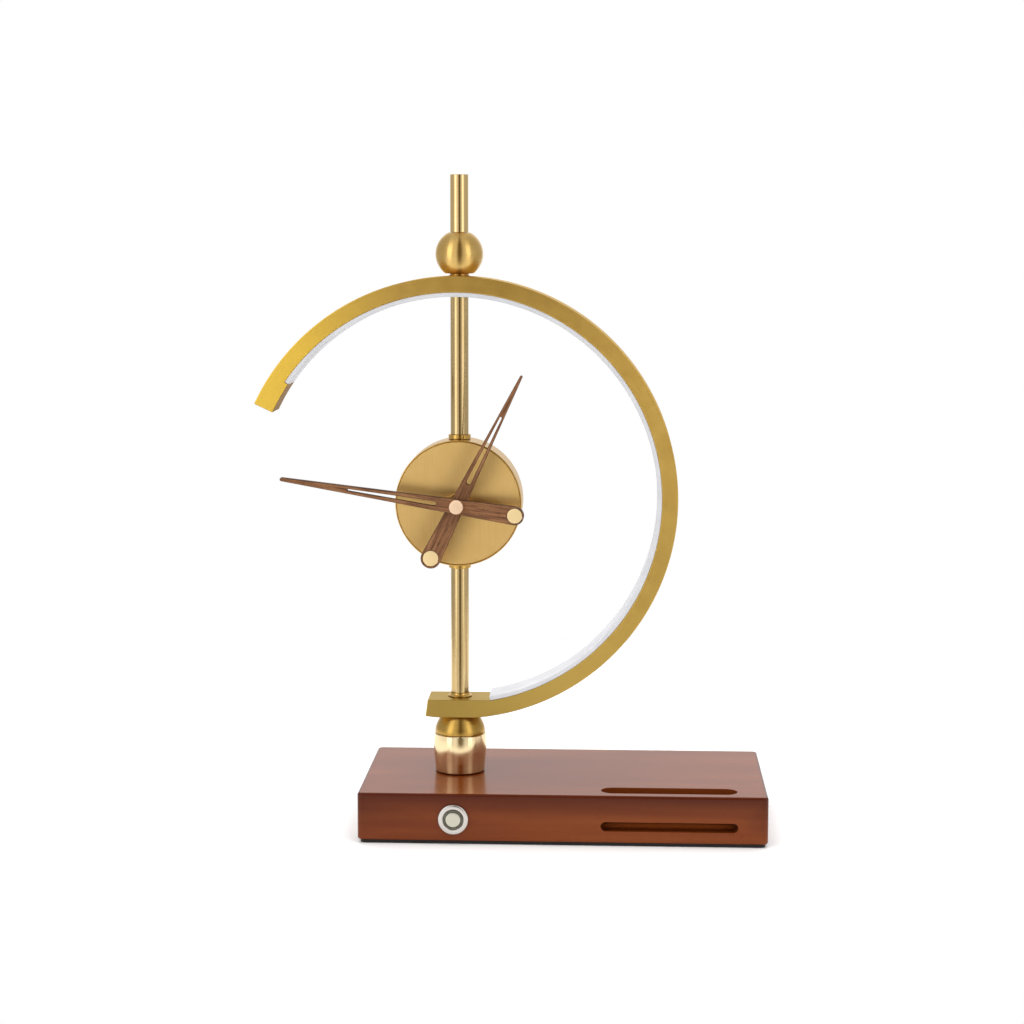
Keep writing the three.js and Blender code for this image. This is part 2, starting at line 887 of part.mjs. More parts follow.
function ringDiffuser() {
  const tongue = grooveHalf - fit;
  const rib = [bandR + snapHeight + fit, bandR + 2 * snapHeight - fit];
  const section = mirrored([
    [ringInnerR, -ringHalf + fit],
    [bandR - seat, -ringHalf + fit],
    [bandR - seat, -tongue],
    [rib[0], -tongue],
    [rib[0], -tongue - snapDepth],
    [rib[1], -tongue - snapDepth],
    [rib[1], -tongue],
    [bandR + tongueHeight, -tongue],
  ]);
  return cut(arc(section, diffuserStart, diffuserEnd), rodHole());
}

function ledStrip() {
  const back = ringFloorR - fit;
  const face = back - stripThickness;
  const section = mirrored([[face, -stripWidth / 2], [back, -stripWidth / 2]]);
  const strip = arc(section, diffuserStart + 1, diffuserEnd - 1);
  const rodAngle = THREE.MathUtils.radToDeg(Math.acos(-ringShiftX / face));
  const clear = THREE.MathUtils.radToDeg((rodR + fit + ledSize) / face);
  const leds = [];
  for (let angle = diffuserStart + ledPitchAngle; angle < diffuserEnd - 2; angle += ledPitchAngle) {
    if (Math.abs(angle - rodAngle) < clear) continue;
    const led = new THREE.BoxGeometry(ledHeight + stripThickness, ledSize, ledSize);
    led.translate(face - ledHeight / 2 + stripThickness / 2 - seat, 0, 0);
    leds.push(led.rotateY(-THREE.MathUtils.degToRad(angle)));
  }
  return cut(join(strip, ...leds), rodHole());
}

// The lead runs from the driver board, up the pipe and out through the pipe's window into the ring's groove.
function ledLead() {
  const start = boardLeft - fit;
  const startZ = cavityTop - seat - boardThickness - connectorHeight / 2;
  const lowZ = pipeBottom - leadBend;
  const grooveX = ringX + bandR * Math.cos(THREE.MathUtils.degToRad(lowerBlockAngle));
  const corners = [
    [start, startZ],
    [start - leadBend, startZ],
    [start - 3 * leadBend, lowZ],
    [columnX, lowZ],
    [columnX, leadZ],
    [grooveX, leadZ],
  ].map(([x, z]) => new THREE.Vector3(x, 0, z));
  const path = new THREE.CurvePath();
  let from = corners[0];
  for (let i = 1; i < corners.length - 1; i += 1) {
    const toPrevious = from.clone().sub(corners[i]);
    const toNext = corners[i + 1].clone().sub(corners[i]);
    const trim = Math.min(leadBend, toPrevious.length() * 0.9, toNext.length() * 0.45);
    const enter = corners[i].clone().addScaledVector(toPrevious.normalize(), trim);
    const leave = corners[i].clone().addScaledVector(toNext.normalize(), trim);
    path.add(new THREE.LineCurve3(from, enter));
    path.add(new THREE.QuadraticBezierCurve3(enter, corners[i], leave));
    from = leave;
  }
  path.add(new THREE.LineCurve3(from, corners[corners.length - 1]));
  const wire = new THREE.Shape();
  wire.absarc(0, 0, leadR, 0, 2 * Math.PI);
  return new THREE.ExtrudeGeometry(wire, { steps: 44, curveSegments: 3, extrudePath: path });
}

// Clock, about the middle of the dial's axis

function clockCase() {
  const hole = bushR + fit;
  const lipR = caseR - caseLip;
  const back = caseDepth / 2;
  const drum = turnedY(
    [
      [hole, wallFront],
      [lipR, wallFront],
      [lipR, dialFront],
      [caseR, dialFront],
      [caseR, back],
      [caseInnerR, back],
      [caseInnerR, wallBack],
      [hole, wallBack],
    ],
    2 * wideSteps,
  );
  const reach = caseR + overrun;
  return cut(drum, pinZ(pipeR + fit, -reach, 0), pinZ(tieRodR + fit, 0, reach));
}

function dialPlate() {
  const outer = caseR - caseLip - dialGap;
  return tubeY(outer, bushR + fit, dialFront, dialFront + dialThickness, 2 * wideSteps);
}

function movementOutline() {
  return roundedRect(2 * movementHalfWidth, 2 * movementHalfHeight, movementCorner);
}

function gearRoom(front, back) {
  const half = bayHalfLength;
  return prismY(rectangle(-half, half, gearRoomBottom, gearRoomTop), front, back);
}

function cellBay(front, back) {
  return prismY(rectangle(-bayHalfLength, bayHalfLength, bayBottom, bayTop), front, back);
}

function movementFrontShell() {
  return cut(
    prismY(movementOutline(), movementFront, partingY, 4),
    gearRoom(movementFloor, partingY + overrun),
    cellBay(movementFloor, partingY + overrun),
    pinY(bushR + fit, movementFront - overrun, movementFloor + overrun),
  );
}

function movementRearShell() {
  const front = partingY + seat;
  const roof = movementBack - movementWall;
  const shell = cut(
    prismY(movementOutline(), front, movementBack, 4),
    gearRoom(front - overrun, roof),
    cellBay(front - overrun, movementBack + overrun),
  );
  const bossed = join(
    shell,
    pinY(pivotBossR, pivotBossFront, movementBack - seat),
    pinY(pivotBossR, pivotBossFront, movementBack - seat).translate(0, 0, arborDistance),
  );
  return cut(
    bossed,
    pinY(pivotR + fit, pivotBossFront - overrun, pivotBossFront + pivotLength + fit),
    pinY(knobArborR + fit, pivotBossFront - overrun, movementBack + overrun).translate(0, 0, arborDistance),
  );
}

function movementBush() {
  const bore = hourTubeR + fit;
  return turnedY(
    [
      [bore, bushFront],
      [bushR, bushFront],
      [bushR, bushFlangeFront],
      [bushFlangeR, bushFlangeFront],
      [bushFlangeR, bushFlangeFront + bushFlangeHeight],
      [bore, bushFlangeFront + bushFlangeHeight],
    ],
    smallSteps,
  );
}

function bushWasher() {
  return tubeY(bushWasherR, bushR + fit, washerFront, washerFront + bushWasherHeight, roundSteps);
}

function bushNut() {
  return cut(
    prismY(hexagon(bushNutFlats), bushNutFront, bushNutFront + bushNutHeight),
    pinY(bushR + fit, bushNutFront - overrun, bushNutFront + bushNutHeight + overrun),
  );
}

function cell() {
  const half = cellLength / 2;
  const can = half - cellNubHeight;
  const profile = [
    [0, -half],
    [cellR - cellEdge, -half],
    [cellR, cellEdge - half],
    [cellR, can - cellEdge],
    [cellR - cellEdge, can],
    [cellNubR, can],
    [cellNubR, half],
    [0, half],
  ];
  const y = movementFloor + fit + cellR;
  return turnedY(profile, 20).rotateZ(-Math.PI / 2).translate(0, y, cellZ);
}

function cellContact(side) {
  const outer = bayHalfLength - seat;
  const [left, right] = side > 0 ? [outer - contactThickness, outer] : [-outer, contactThickness - outer];
  const front = movementFloor + seat;
  const half = contactSize / 2;
  return box(left, right, front, front + contactSize, cellZ - half, cellZ + half);
}

function stepperCoil() {
  const half = coilLength / 2;
  const inner = half - coilFlangeHeight;
  const profile = [
    [0, -half],
    [coilFlangeR, -half],
    [coilFlangeR, -inner],
    [coilR, -inner],
    [coilR, inner],
    [coilFlangeR, inner],
    [coilFlangeR, half],
    [0, half],
  ];
  const x = -(tipRadius(minuteWheelTeeth, firstModule) + boardRoomGap + coilFlangeR);
  const y = movementFloor + fit + coilFlangeR;
  return turnedZ(profile, smallSteps).translate(x, y, arborDistance);
}

function quartzBoard() {
  const left = hourWheelTipR + boardRoomGap;
  const front = movementFloor + seat;
  const face = front + quartzBoardThickness;
  const low = arborDistance - quartzBoardLength / 2;
  const middle = left + quartzBoardWidth / 2;
  const half = chipSize / 2;
  const chipLow = low + chipMargin;
  return join(
    box(left, left + quartzBoardWidth, front, face, low, low + quartzBoardLength),
    box(middle - half, middle + half, face - seat, face + chipHeight, chipLow, chipLow + chipSize),
    pinX(crystalR, middle - crystalLength / 2, middle + crystalLength / 2, 10).translate(
      0,
      face + crystalR - crystalSink,
      low + quartzBoardLength - crystalMargin,
    ),
  );
}

// Toothed wheels

function tipRadius(teeth, module) {
  return module * (teeth / 2 + toothAddendum);
}

// The first tooth points along the phase angle, seen from the front.
function toothed(teeth, module, phase) {
  const rootR = module * (teeth / 2 - toothDedendum);
  const tipR = tipRadius(teeth, module);
  const pitch = (2 * Math.PI) / teeth;
  const points = [];
  for (let tooth = 0; tooth < teeth; tooth += 1) {
    const middle = phase + tooth * pitch;
    const [root, tip] = [toothRootShare, toothTipShare].map((share) => (share * pitch) / 2);
    points.push(
      polar(rootR, middle - root),
      polar(tipR, middle - tip),
      polar(tipR, middle + tip),
      polar(rootR, middle + root),
    );
  }
  return new THREE.Shape(points);
}

const towardsMinuteWheel = Math.PI / 2;
const towardsCentre = -Math.PI / 2;

function minuteArbor() {
  const back = minuteWheelFront + wheelThickness;
  const pinion = toothed(cannonTeeth, firstModule, towardsMinuteWheel);
  return join(
    pinY(arborR, arborFront, back),
    prismY(pinion, minuteWheelFront, back),
    pinY(pivotR, back - seat, pivotBossFront + pivotLength, 12),
  );
}

function hourWheel() {
  const phase = towardsMinuteWheel + Math.PI / hourWheelTeeth;
  const wheelBack = hourWheelFront + wheelThickness;
  const wheel = prismY(toothed(hourWheelTeeth, secondModule, phase), hourWheelFront, wheelBack);
  const tube = pinY(hourTubeR, hourHandFront, wheelBack);
  return cut(join(wheel, tube), pinY(arborR + fit, hourHandFront - overrun, wheelBack + overrun));
}

function minuteWheel() {
  const phase = towardsCentre + Math.PI / minuteWheelTeeth;
  const wheel = toothed(minuteWheelTeeth, firstModule, phase);
  const pinion = toothed(minutePinionTeeth, secondModule, towardsCentre);
  const arborBack = movementBack + fit + knobHeight / 2;
  return join(
    prismY(wheel, minuteWheelFront, minuteWheelFront + wheelThickness),
    prismY(pinion, hourWheelFront, minuteWheelFront + seat),
    pinY(knobArborR, movementFloor + fit, arborBack, 12),
  );
}

function settingKnob() {
  const front = movementBack + fit;
  const steps = 4 * knobFlutes;
  const points = [];
  for (let i = 0; i < steps; i += 1) {
    const angle = (2 * Math.PI * i) / steps;
    const dip = (knobFluteDepth * (1 - Math.cos(knobFlutes * angle))) / 2;
    points.push(polar(knobR - dip, angle));
  }
  return cut(
    prismY(new THREE.Shape(points), front, front + knobHeight),
    pinY(knobArborR + fit, front - overrun, front + knobHeight / 2 + fit, 12),
  );
}

// Hands, pointing up, about the dial's axis

function handBlank(hand, front) {
  const outline = new THREE.Shape();
  outline.absarc(0, -hand.tail, hand.tailR, Math.PI, 2 * Math.PI);
  outline.absarc(0, hand.length - hand.tipR, hand.tipR, 0, Math.PI);
  outline.closePath();
  const blank = new THREE.ExtrudeGeometry(outline, {
    depth: handThickness - 2 * handEdge,
    bevelThickness: handEdge,
    bevelSize: handEdge,
    bevelOffset: -handEdge,
    bevelSegments: 1,
    curveSegments: 8,
  });
  blank.rotateX(Math.PI / 2).translate(0, front + handThickness - handEdge, 0);
  const [before, behind] = [front - overrun, front + handThickness + overrun];
  const [wide, narrow] = [hand.slotWidth / 2, hand.slotEndWidth / 2];
  const slot = new THREE.Shape();
  slot.absarc(0, hand.slotStart + wide, wide, Math.PI, 2 * Math.PI);
  slot.absarc(0, hand.slotEnd - narrow, narrow, 0, Math.PI);
  slot.closePath();
  return cut(
    blank,
    prismY(new THREE.Shape(slot.getPoints(5)), before, behind),
    pinY(hand.boreR + fit, before, behind),
    pinY(hand.discR + discFit, before, behind, 24).translate(0, 0, -hand.tail),
  );
}

function tailDisc(hand, front) {
  const back = front + handThickness;
  return pinY(hand.discR, front - discProud, back, 24).translate(0, 0, -hand.tail);
}

function hubCap() {
  const back = minuteHandFront - seat;
  const bore = arborR + fit;
  const profile = [
    [0, hubCapFront],
    [hubCapR - hubCapEdge, hubCapFront],
    [hubCapR, hubCapFront + hubCapEdge],
    [hubCapR, back],
    [bore, back],
    [bore, arborFront - fit],
    [0, arborFront - fit],
  ];
  return turnedY(profile, 24);
}

const hourShape = {
  length: hourLength,
  tail: hourTail,
  tailR: hourTailR,
  tipR: hourTipR,
  slotStart: hourSlotStart,
  slotEnd: hourSlotEnd,
  slotWidth: hourSlotWidth,
  slotEndWidth: hourSlotEndWidth,
  discR: hourDiscR,
  boreR: hourTubeR,
};

const minuteShape = {
  length: minuteLength,
  tail: minuteTail,
  tailR: minuteTailR,
  tipR: minuteTipR,
  slotStart: minuteSlotStart,
  slotEnd: minuteSlotEnd,
  slotWidth: minuteSlotWidth,
  slotEndWidth: minuteSlotEndWidth,
  discR: minuteDiscR,
  boreR: arborR,
};

// Materials

function finish(color, roughness, metalness) {
  return () => new THREE.MeshStandardMaterial({ color, roughness, metalness });
}

const lacqueredWood = finish(0x743a22, 0.25, 0);
const blackFelt = finish(0x1c1818, 0.95, 0);
const zincedSteel = finish(0xb9bcbe, 0.4, 1);
const circuitGreen = finish(0x2f5f3c, 0.6, 0);
const blackNylon = finish(0x191919, 0.55, 0);
const polishedSteel = finish(0xe8e0dc, 0.2, 1);
const smokedPlastic = finish(0x5a574c, 0.4, 0);
const springSteel = finish(0xa8a8a8, 0.35, 1);
const polishedBrass = finish(0xe7c27a, 0.12, 1);
const satinBrass = finish(0xd0ad6a, 0.35, 1);
const goldAnodised = finish(0xb08f4e, 0.4, 0.9);
const opalSilicone = finish(0xe6e6ea, 0.6, 0);
const ledWhite = finish(0xf2f0e4, 0.5, 0);
const leadSheath = finish(0xd8d8d8, 0.6, 0);
const brushedBrass = finish(0xc4a35a, 0.35, 1);
const copperWire = finish(0xb56a3a, 0.4, 1);
const cellJacket = finish(0x3b5c86, 0.4, 0.2);
const whiteAcetal = finish(0xe9e7df, 0.5, 0);
const walnut = finish(0x7a5236, 0.45, 0);

// Assembly

const lamp = new THREE.Group();

function place(group, name, geometry, material) {
  const mesh = new THREE.Mesh(geometry, material());
  mesh.name = name;
  group.add(mesh);
  return mesh;
}

function groupAt(parent, x, y, z) {
  const group = new THREE.Group();
  group.position.set(x, y, z);
  parent.add(group);
  return group;
}

const base = groupAt(lamp, 0, 0, 0);
place(base, "base_block", baseBlock(), lacqueredWood);
place(base, "base_pad", basePad(), blackFelt);
place(base, "base_plate", basePlate(), zincedSteel);
screwPlaces().forEach(([x, y], i) => {
  place(base, `base_screw_${i + 1}`, baseScrew(), zincedSteel).position.set(x, y, 0);
});
place(base, "driver_board", driverBoard(), circuitGreen);
place(base, "led_lead", ledLead(), leadSheath);

const pushSwitch = groupAt(base, columnX, -baseDepth / 2, switchZ);
place(pushSwitch, "switch_body", switchBody(), polishedSteel);
place(pushSwitch, "switch_light_ring", switchLightRing(), smokedPlastic);
place(pushSwitch, "switch_button", switchButton(), polishedSteel);
place(pushSwitch, "switch_spring", switchSpring(), springSteel);
place(pushSwitch, "switch_nut", switchNut(), zincedSteel);
place(pushSwitch, "switch_terminals", switchTerminals(), blackNylon);

const inlet = groupAt(base, columnX, baseDepth / 2, inletZ);
place(inlet, "power_inlet", powerInlet(), blackNylon);
place(inlet, "power_inlet_nut", inletNut(), zincedSteel);

const column = groupAt(lamp, columnX, 0, 0);
place(column, "foot_barrel", footBarrel(), polishedBrass);
place(column, "foot_dome", footDome(), satinBrass);
place(column, "column_nut", hexNutZ(columnNutFlats, pipeR, columnNutBottom, columnNutTop), zincedSteel);
place(column, "threaded_pipe", threadedPipe(), zincedSteel);
place(column, "lower_collar", lowerCollar(), satinBrass);
place(column, "lower_rod", rod(lowerRodBottom, lowerRodTop, pipeR), polishedBrass);
place(column, "case_lower_collar", caseCollar(lowerCaseCollar, 1, pipeR), satinBrass);
const lowerCaseNut = clockZ - caseNutDrop;
const upperCaseNut = clockZ + caseNutDrop;
const caseNutTop = lowerCaseNut + caseNutHeight;
const caseNutBottom = upperCaseNut - caseNutHeight;
place(column, "case_lower_nut", hexNutZ(caseNutFlats, pipeR, lowerCaseNut, caseNutTop), zincedSteel);
place(column, "case_upper_nut", hexNutZ(caseNutFlats, tieRodR, caseNutBottom, upperCaseNut), zincedSteel);
place(column, "case_upper_collar", caseCollar(upperRodBottom - seat, -1, tieRodR), satinBrass);
place(column, "upper_rod", rod(upperRodBottom, upperRodTop, tieRodR), polishedBrass);
place(column, "upper_tie_rod", upperTieRod(), zincedSteel);
place(column, "top_washer", topWasher(), satinBrass);
place(column, "finial_ball", finialBall(), polishedBrass);
place(column, "finial_rod", finialRod(), polishedBrass);

const lightRing = groupAt(lamp, ringX, 0, ringZ);
place(lightRing, "ring_frame", ringFrame(), goldAnodised);
place(lightRing, "ring_diffuser", ringDiffuser(), opalSilicone);
place(lightRing, "led_strip", ledStrip(), ledWhite);

const clock = groupAt(lamp, columnX, 0, clockZ);
place(clock, "clock_case", clockCase(), brushedBrass);
place(clock, "dial_plate", dialPlate(), brushedBrass);
place(clock, "movement_front", movementFrontShell(), blackNylon);
place(clock, "movement_rear", movementRearShell(), blackNylon);
place(clock, "movement_bush", movementBush(), satinBrass);
place(clock, "bush_washer", bushWasher(), satinBrass);
place(clock, "bush_nut", bushNut(), satinBrass);
place(clock, "cell", cell(), cellJacket);
place(clock, "cell_contact_plus", cellContact(1), springSteel);
place(clock, "cell_contact_minus", cellContact(-1), springSteel);
place(clock, "stepper_coil", stepperCoil(), copperWire);
place(clock, "quartz_board", quartzBoard(), circuitGreen);
place(clock, "minute_arbor", minuteArbor(), polishedSteel);
place(clock, "hour_wheel", hourWheel(), whiteAcetal);

const setting = groupAt(clock, 0, 0, arborDistance);
place(setting, "minute_wheel", minuteWheel(), whiteAcetal);
place(setting, "setting_knob", settingKnob(), blackNylon);

const hourHand = groupAt(clock, 0, 0, 0);
hourHand.rotation.y = THREE.MathUtils.degToRad(hourAngle);
place(hourHand, "hour_hand", handBlank(hourShape, hourHandFront), walnut);
place(hourHand, "hour_hand_disc", tailDisc(hourShape, hourHandFront), polishedBrass);

const minuteHand = groupAt(clock, 0, 0, 0);
minuteHand.rotation.y = THREE.MathUtils.degToRad(minuteAngle);
place(minuteHand, "minute_hand", handBlank(minuteShape, minuteHandFront), walnut);
place(minuteHand, "minute_hand_disc", tailDisc(minuteShape, minuteHandFront), polishedBrass);
place(minuteHand, "hub_cap", hubCap(), polishedBrass);

export default lamp;
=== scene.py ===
import bpy
import bmesh
from math import acos, asin, atan2, cos, degrees, hypot, pi, radians, sin
from mathutils import Matrix, Vector


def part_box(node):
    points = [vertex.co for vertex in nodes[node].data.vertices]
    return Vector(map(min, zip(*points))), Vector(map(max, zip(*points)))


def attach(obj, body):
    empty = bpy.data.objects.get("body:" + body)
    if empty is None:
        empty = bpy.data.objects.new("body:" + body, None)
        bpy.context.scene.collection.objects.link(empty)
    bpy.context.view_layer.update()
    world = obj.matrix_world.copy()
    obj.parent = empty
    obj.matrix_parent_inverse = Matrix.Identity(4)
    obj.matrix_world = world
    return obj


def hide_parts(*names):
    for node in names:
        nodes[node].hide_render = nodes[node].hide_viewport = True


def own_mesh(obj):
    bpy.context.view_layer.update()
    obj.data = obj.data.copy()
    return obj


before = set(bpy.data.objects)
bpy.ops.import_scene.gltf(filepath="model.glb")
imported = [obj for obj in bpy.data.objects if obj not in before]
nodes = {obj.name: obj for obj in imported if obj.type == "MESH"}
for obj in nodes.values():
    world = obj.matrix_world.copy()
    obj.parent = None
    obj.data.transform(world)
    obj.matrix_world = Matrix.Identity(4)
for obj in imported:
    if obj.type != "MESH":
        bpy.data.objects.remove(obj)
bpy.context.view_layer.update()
scene = bpy.context.scene
mm = 0.001
print("frame loaded:", len(nodes), "nodes")


# Small tools

def toLinear(hexText):
    shares = [int(hexText[i:i + 2], 16) / 255 for i in (1, 3, 5)]
    linear = [s / 12.92 if s <= 0.04045 else ((s + 0.055) / 1.055) ** 2.4 for s in shares]
    return (*linear, 1.0)


def addNode(tree, kind, inputs=None, **settings):
    node = tree.nodes.new(kind)
    for key, value in settings.items():
        setattr(node, key, value)
    for key, value in (inputs or {}).items():
        socket = node.inputs[key]
        if isinstance(value, bpy.types.NodeSocket):
            tree.links.new(value, socket)
        else:
            socket.default_value = value
    return node


def rampColors(node, stops):
    elements = node.color_ramp.elements
    elements[0].position, elements[0].color = stops[0]
    elements[1].position, elements[1].color = stops[-1]
    for position, color in stops[1:-1]:
        elements.new(position).color = color
    return node.outputs[0]


def newFinish(name, **patterns):
    # an empty material and its patterns, each from its coordinates, its real sizes in mm and its settings
    material = bpy.data.materials.new(name)
    material.use_nodes = True
    tree = material.node_tree
    tree.nodes.clear()
    place = addNode(tree, "ShaderNodeTexCoord").outputs
    made = {}
    for key, (coordinates, sizes, settings) in patterns.items():
        sized = addNode(tree, "ShaderNodeMapping", {
            "Vector": place[coordinates], "Scale": [1 / (size * mm) for size in sizes]})
        noise = addNode(tree, "ShaderNodeTexNoise", {"Vector": sized.outputs[0], "Scale": 1, **settings})
        made[key] = noise.outputs["Fac"]
    return material, tree, place, made


def closeFinish(material, tone, stops, inputs, tones=(), relief=None):
    # further tones go over the first by a mark on the mesh, by a pattern with its start, end and most, or by a
    # plain share; relief is a pattern, its strength and its depth in mm
    tree = material.node_tree
    tint = rampColors(addNode(tree, "ShaderNodeValToRGB", {"Fac": tone}), [(at, toLinear(c)) for at, c in stops])
    for share, color in tones:
        if isinstance(share, str):
            share = addNode(tree, "ShaderNodeAttribute", attribute_name=share).outputs["Fac"]
        elif isinstance(share, tuple):
            settings = dict(zip(("Value", "From Min", "From Max", "To Max"), share))
            share = addNode(tree, "ShaderNodeMapRange", settings).outputs[0]
        mix = addNode(tree, "ShaderNodeMix", {"Factor": share, "A": tint, "B": toLinear(color)}, data_type="RGBA")
        tint = mix.outputs["Result"]
    inputs = {"Base Color": tint, **inputs}
    if relief:
        height, strength, depth = relief
        bump = addNode(tree, "ShaderNodeBump", {"Height": height, "Strength": strength, "Distance": depth * mm})
        inputs["Normal"] = bump.outputs[0]
    shader = addNode(tree, "ShaderNodeBsdfPrincipled", inputs)
    addNode(tree, "ShaderNodeOutputMaterial", {"Surface": shader.outputs[0]})
    return material


def coat(mesh, material):
    mesh.materials.clear()
    mesh.materials.append(material)


def linked(name, data):
    obj = bpy.data.objects.new(name, data)
    scene.collection.objects.link(obj)
    return obj


# Camera at the photograph's angle, sizes in mm and degrees

viewPoint = {"place": (31.0, -1340.8, 356.7), "turn": (82.87, -0.06, 2.706), "lens": 79.2}

cameraData = bpy.data.cameras.new("camera")
cameraData.lens = viewPoint["lens"]
camera = linked("camera", cameraData)
camera.location = Vector(viewPoint["place"]) * mm
camera.rotation_euler = [radians(a) for a in viewPoint["turn"]]
scene.camera = camera


# Studio: a pale sheet as floor, tall soft boxes left and right, a wide one overhead for the matt surfaces

studio = {
    "floor": {"tint": "#FAFAFA", "x": (-0.6, 0.6), "y": (-0.30, 0.6)},
    "boxes": [
        # name, azimuth from the camera side, distance m, height m, width m, tall m, watts, seen in metal
        ("softboxLeft", -47, 1.40, 0.60, 0.60, 1.6, 4.2, True),
        ("softboxRight", 48, 1.40, 0.60, 0.55, 1.6, 3.1, True),
        ("softboxTop", 180, 0.10, 1.90, 2.4, 2.4, 36.0, False),
    ],
    "aim": (0, 0, 0.2),
    # the room round the lamp by turn: 0 left, 0.25 camera side, 0.5 right, 0.75 back
    "room": [(0.0, 0.58), (0.15, 0.8), (0.2, 1.05), (0.225, 0.75), (0.247, 0.0), (0.282, 0.0), (0.305, 0.5),
             (0.33, 0.85), (0.38, 0.8), (0.5, 0.58), (0.63, 0.58), (0.70, 1.05), (0.80, 1.05), (0.87, 0.58),
             (1.0, 0.58)],
    "behindCamera": (0.14, 0.095, 0.03),  # the warm dark part of the room that the polished metal shows
}


def makeFloor():
    p = studio["floor"]
    material, tree, *_ = newFinish("paperSheetMatt")
    shader = addNode(tree, "ShaderNodeBsdfDiffuse", {"Color": toLinear(p["tint"])})
    addNode(tree, "ShaderNodeOutputMaterial", {"Surface": shader.outputs[0]})
    mesh = bpy.data.meshes.new("floor")
    (x0, x1), (y0, y1) = p["x"], p["y"]
    mesh.from_pydata([(x0, y0, 0), (x1, y0, 0), (x1, y1, 0), (x0, y1, 0)], [], [(0, 1, 2, 3)])
    coat(mesh, material)
    linked("floor", mesh)


def makeLights():
    for name, azimuth, distance, height, width, tall, watts, seen in studio["boxes"]:
        light = bpy.data.lights.new(name, "AREA")
        light.shape = "RECTANGLE"
        light.size, light.size_y = width, tall
        light.energy = watts
        lamp = linked(name, light)
        angle = radians(azimuth)
        lamp.location = (distance * sin(angle), -distance * cos(angle), height)
        aim = Vector(studio["aim"]) - lamp.location
        lamp.rotation_euler = aim.to_track_quat("-Z", "Y").to_euler()
        lamp.visible_glossy = seen


def makeWorld():
    world = bpy.data.worlds.new("studioRoom")
    world.use_nodes = True
    tree = world.node_tree
    tree.nodes.clear()
    path = addNode(tree, "ShaderNodeLightPath")
    way = addNode(tree, "ShaderNodeTexCoord")
    turn = addNode(tree, "ShaderNodeTexGradient", {"Vector": way.outputs["Generated"]}, gradient_type="RADIAL")
    tone = rampColors(addNode(tree, "ShaderNodeValToRGB", {"Fac": turn.outputs["Fac"]}),
                      [(at, (*[max(v, c) for c in studio["behindCamera"]], 1)) for at, v in studio["room"]])
    room = addNode(tree, "ShaderNodeBackground", {"Color": tone})
    white = addNode(tree, "ShaderNodeBackground", {"Color": (1, 1, 1, 1)})
    mix = addNode(tree, "ShaderNodeMixShader", {
        "Fac": path.outputs["Is Camera Ray"], 1: room.outputs[0], 2: white.outputs[0]})
    addNode(tree, "ShaderNodeOutputWorld", {"Surface": mix.outputs[0]})
    scene.world = world


makeFloor()
makeLights()
makeWorld()
scene.view_settings.view_transform = "Standard"
print("camera and studio ready")


# Finishes

columnX = -63.6


def mahoganyLacquered():
    # mahogany under gloss lacquer, with painted shade darker up the sides: soft long streaks below a clear shine
    # that greys at low angles
    material, tree, _, pattern = newFinish(
        "mahoganyLacquered",
        streaks=("Object", (90, 16, 5), {"Detail": 1, "Roughness": 0.4, "Distortion": 0.3}),
        figure=("Object", (160, 26, 26), {"Detail": 3}),
        pores=("Object", (6, 0.4, 0.4), {"Detail": 2}))  # half filled with lacquer
    tone = addNode(tree, "ShaderNodeMix", {
        "Factor": 0.55, "A": pattern["streaks"], "B": pattern["figure"]}, data_type="FLOAT")
    return closeFinish(
        material, tone.outputs[0], [(0.30, "#6E3112"), (0.5, "#783915"), (0.70, "#82411A")],
        {"Roughness": 0.6, "IOR": 1.45, "Specular IOR Level": 0.0, "Coat Weight": 1.0, "Coat Roughness": 0.19,
         "Coat IOR": 1.26},
        [((pattern["pores"], 0.60, 0.72, 0.55), "#54200C"), ("sideShade", "#431305")])


def walnutOiled():
    # oiled walnut, its sides browned by the cutting: warm brown with dark lines and short pores along the piece,
    # from its own UV in metres
    material, *_, pattern = newFinish(
        "walnutOiled",
        lines=("UV", (22, 1.1, 1), {"Detail": 5, "Roughness": 0.6, "Distortion": 0.7}),
        pores=("UV", (3, 0.3, 1), {"Detail": 2}))
    return closeFinish(
        material, pattern["lines"], [(0.33, "#593721"), (0.5, "#845839"), (0.66, "#9F724C")],
        {"Roughness": 0.55, "IOR": 1.48, "Specular IOR Level": 0.3},
        [((pattern["pores"], 0.57, 0.68, 0.75), "#43291A"), ("edgeBurn", "#2E1B11")],
        (pattern["pores"], 0.2, 0.12))


